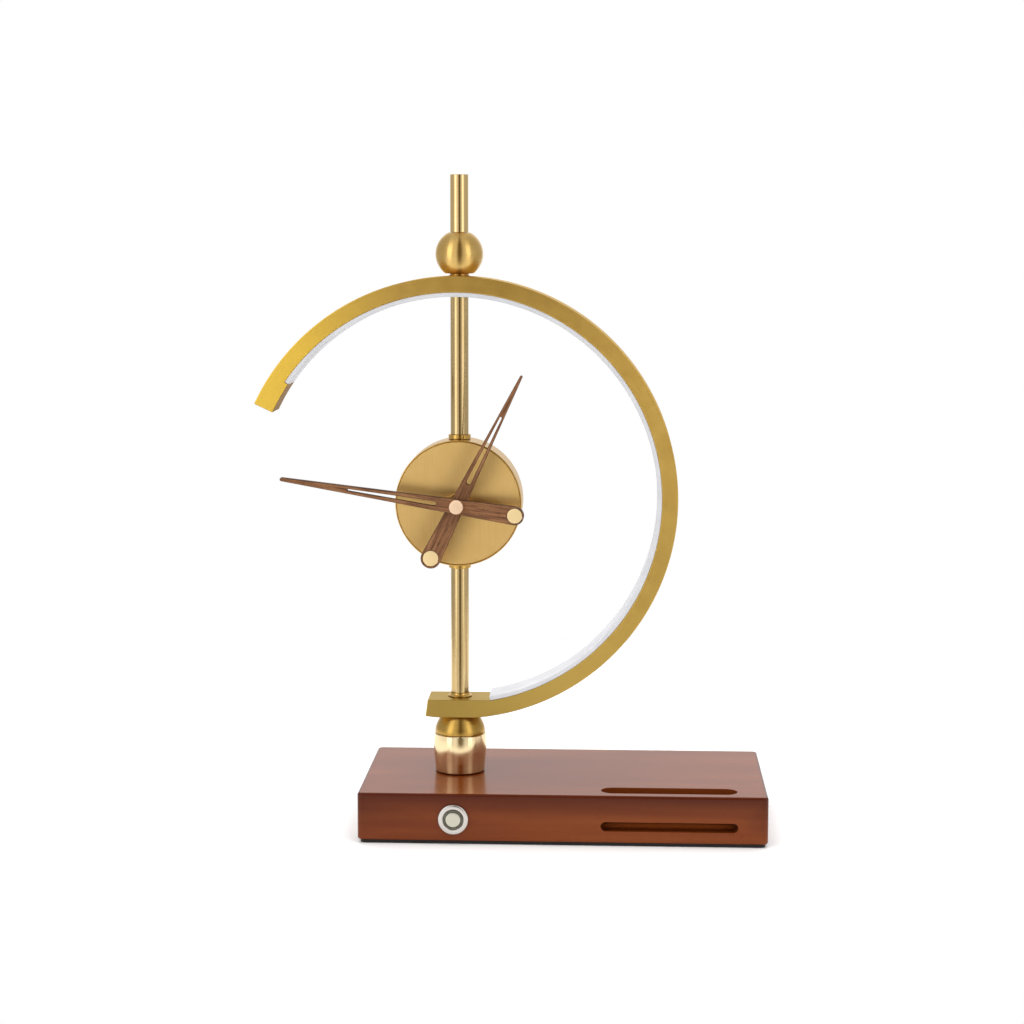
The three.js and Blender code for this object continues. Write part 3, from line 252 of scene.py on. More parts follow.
def metalFinish(name, color, dull, lineSize, lineDepth, roughness, brushed=0.0, lengthwise=False, hazeBelow=None,
                paintedLightDrifts=(), paintedLightMarks=()):
    # a metal worked in one direction: fine lines along U of the piece's own UV in metres, or along V, under a
    # faintly cloudy lacquer; where it is brushed, highlights stretch across the lines
    lineLength, cloud = 40, 9
    sizes = (lineSize, lineLength, 1) if lengthwise else (lineLength, lineSize, 1)
    material, tree, place, pattern = newFinish(
        name, lines=("UV", sizes, {"Detail": 3, "Roughness": 0.6}), clouds=("Object", (cloud,) * 3, {"Detail": 2}))
    tone = addNode(tree, "ShaderNodeMix", {
        "Factor": 0.4, "A": pattern["lines"], "B": pattern["clouds"]}, data_type="FLOAT").outputs[0]
    run = addNode(tree, "ShaderNodeSeparateXYZ", {"Vector": place["UV"]}) if paintedLightDrifts else None
    tones = [((run.outputs["X"], start * mm, end * mm, 1), paintedLight)  # painted light and shade along U, from start to end in mm
             for start, end, paintedLight in paintedLightDrifts]
    spread = 0.14 if lineDepth else 0.04
    rough = addNode(tree, "ShaderNodeMapRange", {
        "Value": tone, "From Min": 0.3, "From Max": 0.7,
        "To Min": roughness * (1 - spread), "To Max": roughness * (1 + spread)})
    inputs = {"Metallic": 1.0, "Roughness": rough.outputs[0]}
    if brushed:
        along = addNode(tree, "ShaderNodeTangent", direction_type="UV_MAP", uv_map="UVMap")
        inputs.update({"Tangent": along.outputs[0], "Anisotropic": brushed,
                       "Anisotropic Rotation": 0.0 if lengthwise else 0.25})
    if hazeBelow:  # less polished towards the foot: the soft boxes stretch to upright streaks there
        low, high, hazy = hazeBelow
        height = addNode(tree, "ShaderNodeSeparateXYZ", {"Vector": place["Object"]})
        haze = addNode(tree, "ShaderNodeMapRange", {
            "Value": height.outputs["Z"], "From Min": low * mm, "From Max": high * mm,
            "To Min": hazy, "To Max": rough.outputs[0]})
        inputs["Roughness"] = haze.outputs[0]
    return closeFinish(material, tone, [(0.28, dull), (0.72, color)], inputs, [*tones, *paintedLightMarks],
                       (pattern["lines"], lineDepth, 0.02) if lineDepth else None)


def grainedFinish(name, color, dull, grain, detail, low, surface, relief=None):
    # cast, pressed or blasted stuff: a fine even grain of the given size in mm, with no direction to it
    material, *_, pattern = newFinish(name, grain=("Object", (grain,) * 3, {"Detail": detail}))
    return closeFinish(material, pattern["grain"], [(low, dull), (1 - low, color)], surface,
                       relief=relief and (pattern["grain"], *relief))


def blastedFinish(name, color, dull):
    # brass blasted and lacquered: scatters light evenly, so it stays pale from any side
    return grainedFinish(name, color, dull, 0.25, 2, 0.3, {"Metallic": 0.3, "Roughness": 0.5}, (0.1, 0.02))


def mouldedFinish(name, color, dull, grain, roughness, strength, sheen=0.0):
    # moulded or pressed stuff: an even soft shine over its grain
    return grainedFinish(name, color, dull, grain, 3, 0.35, {
        "Roughness": roughness, "IOR": 1.5, "Sheen Weight": sheen}, (strength, 0.1))


def siliconeOpal():
    # cast opal silicone: milky and soft, a faint haze, unlit
    return grainedFinish("siliconeOpal", "#DDDEE2", "#D1D2D7", 14, 2, 0.3, {"Roughness": 0.6, "IOR": 1.41})


def cellJacket(middle, jacketHalf):
    # cell with a lacquered steel can: blue jacket, bare ends
    grain = 10 / 9
    material, tree, place, pattern = newFinish("steelCanLacquered", grain=("Object", (grain,) * 3, {"Detail": 2}))
    bare = addNode(tree, "ShaderNodeSeparateXYZ", {"Vector": place["Object"]}).outputs["X"]
    for operation, other in (("SUBTRACT", middle * mm), ("ABSOLUTE", 0.0), ("GREATER_THAN", jacketHalf * mm)):
        bare = addNode(tree, "ShaderNodeMath", {0: bare, 1: other}, operation=operation).outputs[0]
    return closeFinish(material, pattern["grain"], [(0.3, "#35547C"), (0.7, "#40638F")],
                       {"Metallic": bare, "Roughness": 0.32}, [(bare, "#C9CACB")])


finishes = {
    "mahogany": mahoganyLacquered(),
    "walnut": walnutOiled(),
    # painted on the barrel: the reflection of the wooden base, warmer towards its foot, and a contact shadow at the
    # foot
    "brassPolished": metalFinish("brassTurnedAndPolished", "#F0DAB0", "#E8CE9E", 0.5, 0, 0.11, 0.95,
                                 hazeBelow=(34, 43, 0.25),
                                 paintedLightMarks=[("warmFoot", "#B8701E"), ("footShade", "#3A1E0C")]),
    "brassDrawn": metalFinish("brassDrawnAndPolished", "#E6C892", "#DABB80", 0.5, 0, 0.13, lengthwise=True),
    # the finial's drawn brass made darker for the upper and lower rods: painted shade for the darker surroundings
    # they reflect
    "brassDrawnShaded": metalFinish("brassDrawnAndLacquered", "#CDB382", "#C3A772", 0.5, 0, 0.17, lengthwise=True),
    # painted contact shadow along the foot of the lower collar
    "brassSatin": metalFinish("brassSatinTurned", "#DCB468", "#C59B4C", 0.25, 0.05, 0.27, 0.85,
                              paintedLightMarks=[("footShade", "#3A1E0C")]),
    # turned satin brass, more olive and darker than brassSatin: its own olive tone, and painted shade for the dark
    # room its sides reflect
    "brassDome": metalFinish("brassBronzedTurned", "#C8A256", "#B08A3F", 0.25, 0.04, 0.29, 0.7),
    "brassBall": metalFinish("brassSatinSpun", "#E6C27A", "#D0A85C", 0.25, 0.05, 0.29, 0.92),
    "brassDial": metalFinish("brassBrushedUpright", "#FAD28A", "#E6BC70", 0.25, 0.06, 0.42, 1.0, True),
    "brassCase": metalFinish("brassSatinRolled", "#DAB264", "#C49A4E", 0.25, 0.06, 0.30, 0.4),
    "brassPale": blastedFinish("brassBlastedAndLacquered", "#F6DDAA", "#EDCE92"),
    "brassRose": blastedFinish("brassRoseBlasted", "#F6D8B8", "#EDC7A1"),
    # painted shade darkens the ring towards its foot and a painted highlight brightens it towards the free end;
    # painted shade also lies on the free end's inner and end faces
    "aluminiumGold": metalFinish("aluminiumGoldBrushed", "#EDC56A", "#DBB058", 0.3, 0.04, 0.38, 0.85,
                                 paintedLightDrifts=[(430, 150, "#C5A757"), (590, 665, "#FFD559")],
                                 paintedLightMarks=[("milledShade", "#80590F")]),
    "stainless": metalFinish("stainlessTurned", "#D4CFC9", "#C0BBB5", 0.2, 0.06, 0.22),
    "stainlessBlasted": metalFinish("stainlessBlasted", "#D6D3C2", "#C3C0AF", 0.3, 0.10, 0.42),
    "zincSteel": metalFinish("steelZincPlated", "#C9CCCE", "#AEB1B3", 0.4, 0.05, 0.38),
    "springSteel": metalFinish("springSteelDrawn", "#B9B9B9", "#989898", 0.3, 0.05, 0.3),
    "copper": metalFinish("copperEnamelledWinding", "#C2743F", "#9C5429", 0.2, 0.3, 0.35),
    "silicone": siliconeOpal(),
    "felt": mouldedFinish("feltPressedBlack", "#2A2423", "#141110", 0.5, 0.95, 0.8, 0.3),
    "nylon": mouldedFinish("nylonMouldedBlack", "#1E1E1F", "#151516", 0.35, 0.48, 0.12),
    "acetal": mouldedFinish("acetalMouldedWhite", "#EDEBE3", "#DDDBD2", 0.5, 0.45, 0.08),
    "smoked": mouldedFinish("polycarbonateSmoked", "#66624F", "#545142", 1.2, 0.22, 0.03),
    "laminate": mouldedFinish("laminateSolderMasked", "#356B44", "#28542F", 1.5, 0.45, 0.1),
    "sheath": mouldedFinish("sheathVinylWhite", "#DDDDDD", "#CFCFCF", 0.6, 0.55, 0.08),
    "strip": mouldedFinish("stripWhiteMasked", "#F2F0E6", "#E4E2D8", 2.0, 0.5, 0.05),
    "cellCan": cellJacket(columnX, 23.4),
}
print("finishes ready:", len(finishes))


# Outlines, in mm

def bent(start, corner, end, steps):
    # a curve from start to end, drawn towards the corner
    return [tuple(a * (1 - t) ** 2 + b * 2 * t * (1 - t) + c * t * t for a, b, c in zip(start, corner, end))
            for t in (i / steps for i in range(steps + 1))]


def filleted(points, radius, steps=3, most=0.45):
    # rounds each corner of a run of [r, h] points, by no more than a share of its sides
    rounded = [points[0]]
    for before, here, after in zip(points, points[1:], points[2:]):
        p, q, r = (Vector(v) for v in (before, here, after))
        reach = min(radius, (p - q).length * most, (r - q).length * most)
        rounded += bent(q + (p - q).normalized() * reach, q, q + (r - q).normalized() * reach, steps)
    return [*rounded, points[-1]]


def closedFillet(points, radius):
    return filleted([points[-1], *points, points[0]], radius)[1:-1]


def throughPoints(points, steps):
    # smooth run through a few [r, h] points
    run = [points[0], *points, points[-1]]
    path = []
    for a, b, c, d in zip(run, run[1:], run[2:], run[3:]):
        for t in (i / steps for i in range(steps)):
            path.append(tuple(0.5 * (2 * q + (r - p) * t + (2 * p - 5 * q + 4 * r - s) * t * t
                                     + (3 * q - p - 3 * r + s) * t ** 3) for p, q, r, s in zip(a, b, c, d)))
    return [*path, tuple(points[-1])]


def rimmed(radius, front, rim):
    # a rim as [inset from the radius, depth behind the front]
    return [(radius - inset, front + depth) for inset, depth in rim]


def arcPoints(x, y, radius, start, end, steps):
    return [(x + radius * cos(turn), y + radius * sin(turn))
            for turn in (radians(start + (end - start) * i / steps) for i in range(steps + 1))]


def circle(x, y, radius, sides):
    return arcPoints(x, y, radius, 0, 360 - 360 / sides, sides - 1)


def stadium(x, y, length, width, steps=12):
    reach = (length - width) / 2
    return arcPoints(x + reach, y, width / 2, -90, 90, steps) + arcPoints(x - reach, y, width / 2, 90, 270, steps)


def roundedRect(x, y, width, depth, corner, steps=8):
    dx, dy = width / 2 - corner, depth / 2 - corner
    return [point for i, (sx, sy) in enumerate(((1, -1), (1, 1), (-1, 1), (-1, -1)))
            for point in arcPoints(x + sx * dx, y + sy * dy, corner, 90 * i - 90, 90 * i, steps)]


# Places of the nodes, in mm

def span(node, axis):
    return [corner["XYZ".index(axis)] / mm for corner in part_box(node)]


def middleOf(node):
    return [sum(span(node, axis)) / 2 for axis in "XYZ"]


def axisOf(node):
    # where the axis of a piece that faces the front meets the middle plane
    x, _, z = middleOf(node)
    return x, 0, z


def halfWidth(node):
    low, high = span(node, "X")
    return (high - low) / 2


# Piece making

def bake(obj):
    # keeps what the modifiers give and drops them
    graph = bpy.context.evaluated_depsgraph_get()
    made = bpy.data.meshes.new_from_object(obj.evaluated_get(graph))
    made.name = obj.name
    obj.modifiers.clear()
    obj.data = made
    return obj


def settled(obj, sharp=35):
    # smooth faces, true flats: weights the normals by face size
    obj.data.shade_smooth()
    obj.data.set_sharp_from_angle(angle=radians(sharp))
    weighted = obj.modifiers.new("weighted", "WEIGHTED_NORMAL")
    weighted.keep_sharp = True
    return bake(obj)


def corners(mesh):
    for face in mesh.polygons:
        for loop in face.loop_indices:
            yield loop, mesh.vertices[mesh.loops[loop].vertex_index].co, face


def mapUv(mesh, rule):
    layer = mesh.uv_layers.get("UVMap") or mesh.uv_layers.new(name="UVMap")
    for loop, co, face in corners(mesh):
        layer.data[loop].uv = rule(co, face)


def markCorners(mesh, name, rule):
    # a share for each face corner that a finish reads by name
    share = mesh.attributes.new(name, "FLOAT", "CORNER")
    for loop, co, face in corners(mesh):
        share.data[loop].value = rule(co, face)


def standsFor(obj, body, slot, *cadNodes):
    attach(obj, body)
    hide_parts(*cadNodes)
    return obj


def turned(name, profile, finish, axis="Z", centre=(0, 0, 0), steps=96):
    # profile is [radius, height] in mm, anticlockwise, closed on the axis or on itself
    closed = list(profile) if profile[0][0] == 0 else [*profile, profile[0]]
    lengths = [0.0]
    for a, b in zip(closed, closed[1:]):
        lengths.append(lengths[-1] + (Vector(b) - Vector(a)).length)
    bm = bmesh.new()
    uv = bm.loops.layers.uv.new("UVMap")
    rings = [[bm.verts.new((r * cos(turn) * mm, r * sin(turn) * mm, h * mm)) for r, h in closed]
             for turn in (2 * pi * step / steps for step in range(steps))]
    for step in range(steps):
        here, there = rings[step], rings[(step + 1) % steps]
        for i in range(len(closed) - 1):
            around = max(closed[i][0], closed[i + 1][0]) * 2 * pi / steps
            places = [(here[i], step, i), (there[i], step + 1, i),
                      (there[i + 1], step + 1, i + 1), (here[i + 1], step, i + 1)]
            face = bm.faces.new([vert for vert, _, _ in places])
            for loop, (_, s, j) in zip(face.loops, places):
                loop[uv].uv = (s * around * mm, lengths[j] * mm)
    bmesh.ops.remove_doubles(bm, verts=bm.verts, dist=1e-7)
    bmesh.ops.dissolve_degenerate(bm, edges=bm.edges, dist=1e-8)
    bmesh.ops.recalc_face_normals(bm, faces=bm.faces)
    if axis == "Y":
        bm.transform(upright @ Matrix.Scale(-1, 4, (0, 0, 1)))
        bmesh.ops.reverse_faces(bm, faces=bm.faces)
    bm.transform(Matrix.Translation(Vector(centre) * mm))
    mesh = bpy.data.meshes.new(name)
    bm.to_mesh(mesh)
    bm.free()
    coat(mesh, finishes[finish])
    return settled(linked(name, mesh), 40)


def lathed(name, finish, slot, node, profile, centre, axis="Y", steps=96, body="lamp"):
    return standsFor(turned(name, profile, finish, axis, centre, steps), body, slot, node)


def outlined(name, dimensions, outlines):
    # a curve of closed runs of [x, y] in mm
    curve = bpy.data.curves.new(name, "CURVE")
    curve.dimensions = dimensions
    for outline in outlines:
        spline = curve.splines.new("POLY")
        spline.points.add(len(outline) - 1)
        for point, (x, y) in zip(spline.points, outline):
            point.co = (x * mm, y * mm, 0, 1)
        spline.use_cyclic_u = True
    return linked(name, curve)


def flatPiece(name, outlines, low, high, edge, finish, matrix=Matrix()):
    # the first outline is outside, the others are holes; edge is the rounding
    source = outlined(name + "Outline", "2D", outlines)
    curve = source.data
    curve.fill_mode = "BOTH"
    curve.extrude = ((high - low) / 2 - edge) * mm
    curve.bevel_depth = edge * mm
    curve.bevel_resolution = 2
    curve.offset = -edge * mm
    graph = bpy.context.evaluated_depsgraph_get()
    mesh = bpy.data.meshes.new_from_object(source.evaluated_get(graph))
    bpy.data.objects.remove(source)
    welded(mesh, 1e-7)
    mapUv(mesh, lambda co, face: (co.y, co.x + 0.7 * co.z))
    mesh.transform(matrix @ Matrix.Translation((0, 0, (low + high) / 2 * mm)))
    mesh.name = name
    coat(mesh, finishes[finish])
    return linked(name, mesh)


def welded(mesh, reach):
    bm = bmesh.new()
    bm.from_mesh(mesh)
    bmesh.ops.remove_doubles(bm, verts=bm.verts, dist=reach)
    bmesh.ops.recalc_face_normals(bm, faces=bm.faces)
    bm.to_mesh(mesh)
    bm.free()


upright = Matrix.Rotation(pi / 2, 4, "X")  # a plan outline stands up, its height runs to -Y
backward = Matrix.Rotation(-pi / 2, 4, "X")  # a piece made along Z runs to the back


def cutter(name, outline, low, high, matrix=Matrix()):
    return flatPiece(name, [outline], low, high, 0.0, "mahogany", matrix)


def cutBy(obj, tools):
    for tool in tools:
        cut = obj.modifiers.new(tool.name, "BOOLEAN")
        cut.solver = "EXACT"
        cut.object = tool
        bake(obj)
        bpy.data.objects.remove(tool)
    return obj


def edged(obj, width, angle):
    bevel = obj.modifiers.new("edges", "BEVEL")
    bevel.width = width * mm
    bevel.segments = 2
    bevel.limit_method = "ANGLE"
    bevel.angle_limit = radians(angle)
    return bake(obj)


def softened(node, finish, slot, edge):
    # the node's own shape with its edges broken
    bm = bmesh.new()
    bm.from_mesh(nodes[node].data)
    bmesh.ops.remove_doubles(bm, verts=bm.verts, dist=1e-6)
    bmesh.ops.dissolve_limit(bm, angle_limit=radians(1), verts=bm.verts, edges=bm.edges)
    mesh = bpy.data.meshes.new(node + "Soft")
    bm.to_mesh(mesh)
    bm.free()
    mapUv(mesh, lambda co, face: (co.x + 0.3 * co.y, co.z + 0.3 * co.y))
    coat(mesh, finishes[finish])
    obj = edged(linked(node + "Soft", mesh), edge, 38)
    return standsFor(settled(obj), "lamp", slot, node)


# Node trees: named inputs, and at the end real geometry with its finish

def newTree(name, **inputs):
    tree = bpy.data.node_groups.new(name, "GeometryNodeTree")
    sockets = {key: tree.interface.new_socket(key, in_out="INPUT", socket_type="NodeSocket" + kind).identifier
               for key, kind in {**inputs, "Finish": "Material"}.items()}
    tree.interface.new_socket("Geometry", in_out="OUTPUT", socket_type="NodeSocketGeometry")
    return tree, sockets, addNode(tree, "NodeGroupInput").outputs


def closeTree(tree, sockets, geometry, given):
    whole = addNode(tree, "GeometryNodeRealizeInstances", {"Geometry": geometry})
    coated = addNode(tree, "GeometryNodeSetMaterial", {"Geometry": whole.outputs[0], "Material": given["Finish"]})
    addNode(tree, "NodeGroupOutput", {"Geometry": coated.outputs[0]})
    return tree, sockets


def grown(name, madeTree, finish, **values):
    # the inputs are set by socket before the first evaluation
    tree, sockets = madeTree
    obj = linked(name, bpy.data.meshes.new(name))
    modifier = obj.modifiers.new(tree.name, "NODES")
    modifier.node_group = tree
    for key, value in {**values, "Finish": finishes[finish]}.items():
        modifier[sockets[key]] = value
    bake(obj)
    coat(obj.data, finishes[finish])  # some nodes bring an empty slot along
    return obj


bore = {"pipe": 4.3, "tie": 2.8}


# Wooden base

basePiece = {
    "width": 240, "depth": 120, "corner": 3, "edge": 1.4, "cutEdge": 0.5,
    # middle, middle, length, width, then the depth of the cut
    "groove": (62.5, -46, 80, 14, 13), "slot": (62.5, 11.8, 80, 5.6, 21), "port": (74, 8),
    # middle, middle, length, width, corner, then the wood left above or the depth of the cut
    "cavity": (-48.75, 0, 118.5, 96, 8, 5), "rebate": (-48.75, 0, 133.1, 110.6, 6.3, 2.1),
    "switchHole": (15.2, 8.0), "inletHole": (15, 5.8), "holeDepth": 15,
    "shade": (0.45, 0.5, 0.85),  # painted shade up the sides: shares of the height where it starts and over which it grows, share of dark
    "pad": (237, 117, 3), "padHigh": 2, "padEdge": 0.4,
}


def makeBase():
    p = basePiece
    z0, z1 = span("base_block", "Z")
    front, clear = p["depth"] / 2, 5
    *groove, grooveDepth = p["groove"]
    *slot, slotDepth = p["slot"]
    *cavity, roof = p["cavity"]
    *rebate, rebateDepth = p["rebate"]
    start, over, most = p["shade"]
    block = flatPiece("baseWood", [roundedRect(0, 0, p["width"], p["depth"], p["corner"])],
                      z0, z1, p["edge"], "mahogany")
    cutBy(block, [
        cutter("grooveTool", stadium(*groove), z1 - grooveDepth, z1 + clear),
        cutter("portTool", stadium(*groove[:2], *p["port"]), slot[1], z1 - grooveDepth + 1),
        cutter("slotTool", stadium(*slot), front - slotDepth, front + clear, upright),
        cutter("cavityTool", roundedRect(*cavity), z0 - clear, z1 - roof),
        cutter("rebateTool", roundedRect(*rebate), z0 - clear, z0 + rebateDepth),
        cutter("columnTool", circle(columnX, 0, bore["pipe"], 24), z0, z1 + clear),
        cutter("switchTool", circle(columnX, *p["switchHole"], 48), front - p["holeDepth"], front + clear,
               upright),
        cutter("inletTool", circle(columnX, *p["inletHole"], 48), -front - clear, p["holeDepth"] - front, upright),
    ])
    edged(block, p["cutEdge"], 60)
    settled(block)

    # painted shade: the outer sides and their rounded top edge darken towards the top, standing in for bounce light
    # from the floor that fades upward and a dark reflection along the edge
    def sideShade(co, face):
        outside = max(abs(face.center.x) / p["width"], abs(face.center.y) / p["depth"]) / mm > 0.49
        height = (co.z / mm - z0) / (z1 - z0)
        rise = min(max((height - start) / over, 0), 1)
        return most * rise if outside and abs(face.normal.z) < 0.97 else 0.0

    markCorners(block.data, "sideShade", sideShade)
    standsFor(block, "lamp", "lacquered_wood", "base_block")
    pad = flatPiece("basePadFelt", [roundedRect(0, 0, *p["pad"])], 0, p["padHigh"], p["padEdge"], "felt")
    standsFor(settled(pad, 40), "lamp", "felt", "base_pad")


makeBase()
print("base made")


# Turned column

columnPiece = {
    # rim is the height of the painted contact shadow at the foot, warm the share of the painted reflection of the
    # wood above it
    "barrel": {"foot": 14.9, "belly": 16.0, "bellyHeight": 14.5, "top": 15.6, "edge": 0.5, "rim": 0.6, "warm": 0.4},
    "dome": {"wide": 15.2, "top": 10.8, "shoulder": 1.5, "bulge": 5.2, "edge": 0.5, "lip": 0.1},
    # foot is [radius, height over the foot], head is [radius, height over the top]
    "collar": {"foot": [(7.0, 0), (7.2, 0.2), (7.2, 0.7), (6.9, 0.9), (6.4, 1.15), (5.95, 1.5), (5.7, 2.0)],
               "head": [(5.7, 0)], "rim": 0.25},
    "rod": {"radius": 5.4, "edge": 0.35, "tapped": 10.3},
    "ball": {"radius": 14.2, "below": 11.4, "above": 12.6},
    "washer": {"foot": [(6.2, 0), (6.2, 0.25), (5.5, 0.65)], "head": [(5.5, -0.35), (5.9, 0)]},
}


def makeColumn():
    barrel, dome, collar, rod, ball, washer = columnPiece.values()
    place, pipe, tie = (columnX, 0, 0), bore["pipe"], bore["tie"]

    def around(node, name, finish, slot, hole, foot, head, steps=96, edge=0):
        z0, z1 = span(node, "Z")
        profile = [(hole, z0), *[(r, z0 + h) for r, h in foot], *[(r, z1 + h) for r, h in head], (hole, z1)]
        profile = filleted(profile, edge) if edge else profile
        return lathed(name, finish, slot, node, profile, place, "Z", steps)

    z0, z1 = span("foot_barrel", "Z")
    foot, belly, rise, top, edge, rim, warm = barrel.values()
    side = throughPoints([(foot, 0), (belly, rise), (top, z1 - z0)], 24)
    made = around("foot_barrel", "footBarrelBrass", "brassPolished", "polished_brass", pipe,
                  [(foot - edge, 0), (foot, edge), *side[3:-2]], [(top, -edge), (top - edge, 0)], 128)
    # painted reflection of the wooden base, fading from the foot to the belly, then a painted contact shadow in a
    # thin line at the foot
    markCorners(made.data, "warmFoot", lambda co, face: warm * max(0, 1 - (co.z / mm - z0) / rise))
    markCorners(made.data, "footShade", lambda co, face: float(co.z / mm - z0 < rim))
    z0, z1 = span("foot_dome", "Z")
    wide, top, shoulder, bulge, edge, lip = dome.values()
    crown = bent((wide, shoulder), (wide, bulge), (top, z1 - z0), 24)
    around("foot_dome", "footDomeBrass", "brassDome", "satin_brass", pipe,
           [(wide - edge, 0), (wide, edge), *crown[:-1]], [(top - lip, 0)], 128)
    foot, head, rim = collar.values()
    z0, z1 = span("lower_collar", "Z")
    made = around("lower_collar", "lowerCollarBrass", "brassSatin", "satin_brass", pipe, foot, head)
    # painted contact shadow: a dark line along the collar's foot where it stands on the ring
    markCorners(made.data, "footShade", lambda co, face: float(co.z / mm - z0 < rim))
    radius, edge, tapped = rod.values()
    for node, name, hole in (("lower_rod", "lowerRodBrass", pipe), ("upper_rod", "upperRodBrass", tie)):
        around(node, name, "brassDrawnShaded", "polished_brass", hole, [(radius, 0)], [(radius, 0)], edge=edge)
    z0, z1 = span("finial_rod", "Z")
    solid = filleted([(tie, z0), (radius, z0), (radius, z1), (0, z1)], edge)
    lathed("finialRodBrass", "brassDrawn", "polished_brass", "finial_rod",
           [(0, z0 + tapped), (tie, z0 + tapped), *solid], place, "Z")
    radius, below, above = ball.values()
    low, high = (degrees(asin(reach / radius)) for reach in (-below, above))
    around("finial_ball", "finialBallBrass", "brassBall", "polished_brass", tie,
           arcPoints(0, below, radius, low, high, 40), [], 128)
    around("top_washer", "topWasherBrass", "brassSatin", "satin_brass", tie, *washer.values())


makeColumn()
print("column made")


# Light ring, swept along its arc by nodes

ringPiece = {
    "outer": 132.5, "band": 123.1, "inner": 120.4, "depth": 26, "wall": 1.6, "floor": 130.9,
    "shiftX": -1.9, "edge": 0.45, "degreesPerStep": 1.5, "opening": 152,
    "lowerEnd": -97.9, "lowerBlock": -80.4, "upperBlock": 145.5, "upperEnd": 154.6, "flat": 0.5, "thick": 10.8,
    "slack": 0.3, "tongue": 3, "seam": 0.05, "bandEdge": 0.5, "gap": 0.15, "rodHole": 5.7,
    "clear": 5, "pipeDeep": 20, "tieDeep": 8, "rodFrom": 100, "rodTo": 131,
}


def sweepTree():
    tree, sockets, given = newTree("sweptBand", Section="Object", Radius="Float", Start="Float", Sweep="Float",
                                   Points="Int", Caps="Bool")
    arc = addNode(tree, "GeometryNodeCurveArc", {
        "Resolution": given["Points"], "Radius": given["Radius"],
        "Start Angle": given["Start"], "Sweep Angle": given["Sweep"]})
    section = addNode(tree, "GeometryNodeObjectInfo", {"Object": given["Section"]})
    band = addNode(tree, "GeometryNodeCurveToMesh", {
        "Curve": arc.outputs[0], "Profile Curve": section.outputs["Geometry"], "Fill Caps": given["Caps"]})
    stood = addNode(tree, "GeometryNodeTransform", {"Geometry": band.outputs[0], "Rotation": (pi / 2, 0, 0)})
    return closeTree(tree, sockets, stood.outputs[0], given)


ringTree = sweepTree()


def swept(name, section, start, end, finish, centre, caps=True):
    # section is [radius, y] in mm, anticlockwise
    outer = ringPiece["outer"]
    source = outlined(name + "Section", "3D", [[(radius - outer, y) for radius, y in section]])
    obj = grown(name, ringTree, finish, Section=source, Radius=outer * mm, Start=radians(start),
                Sweep=radians(end - start), Points=int((end - start) / ringPiece["degreesPerStep"]) + 2, Caps=caps)
    bpy.data.objects.remove(source)
    verts, count = obj.data.vertices, len(section)
    for angle, row in ((start, verts[:count]), (end, verts[-count:])):
        turn = radians(angle)  # the first and the last section stand square to the arc
        for vertex, (radius, _) in zip(row, section):
            vertex.co.x, vertex.co.z = radius * mm * cos(turn), radius * mm * sin(turn)
    obj.data.transform(Matrix.Translation(Vector(centre) * mm))
    return obj


def addBlock(bm, centre, channel, joint, end, innerAt, outerAt, kinks=()):
    # solid end of the ring: from the station that it shares with the channel to a rounded end face
    p = ringPiece
    half, edge = p["depth"] / 2, p["edge"]

    def vertsAt(angle, section):
        turn = radians(angle)
        return [bm.verts.new(((centre[0] + r * cos(turn)) * mm, y * mm, (centre[2] + r * sin(turn)) * mm))
                for r, y in section]

    def station(angle, inset=0.0):
        inner, outer, side = innerAt(angle) + inset, outerAt(angle) - inset, half - inset
        return vertsAt(angle, closedFillet([(inner, -side), (outer, -side), (outer, side), (inner, side)], edge))

    way = 1 if end > joint else -1
    roundTurn = way * degrees(edge / p["outer"])
    count = int(abs(end - joint) / p["degreesPerStep"]) + 1
    steps = {joint + (end - roundTurn - joint) * i / count for i in range(count + 1)}
    rings = [station(angle) for angle in sorted(steps | set(kinks), reverse=way < 0)]
    for t in (pi / 6, pi / 3, pi / 2):
        rings.append(station(end - roundTurn * (1 - sin(t)), edge * 0.7 * (1 - cos(t))))
    mouth = vertsAt(joint, channel)
    size = len(rings[0])
    perCorner = size // 4
    shared = {perCorner - 1: mouth[perCorner - 1],  # where the side faces begin and end
              size - perCorner - 1: mouth[3 * perCorner]}
    for here, there in zip(rings, rings[1:]):
        for i in range(size):
            j = (i + 1) % size
            extra = [shared[i]] if here is rings[0] and i in shared else []
            bm.faces.new([here[i], *extra, here[j], there[j], there[i]])
    bm.faces.new(rings[-1])
    plug = [*reversed(mouth[:perCorner]), *reversed(mouth[3 * perCorner:])]
    bm.faces.new([*plug, *rings[0][3 * perCorner:], *rings[0][:perCorner]])


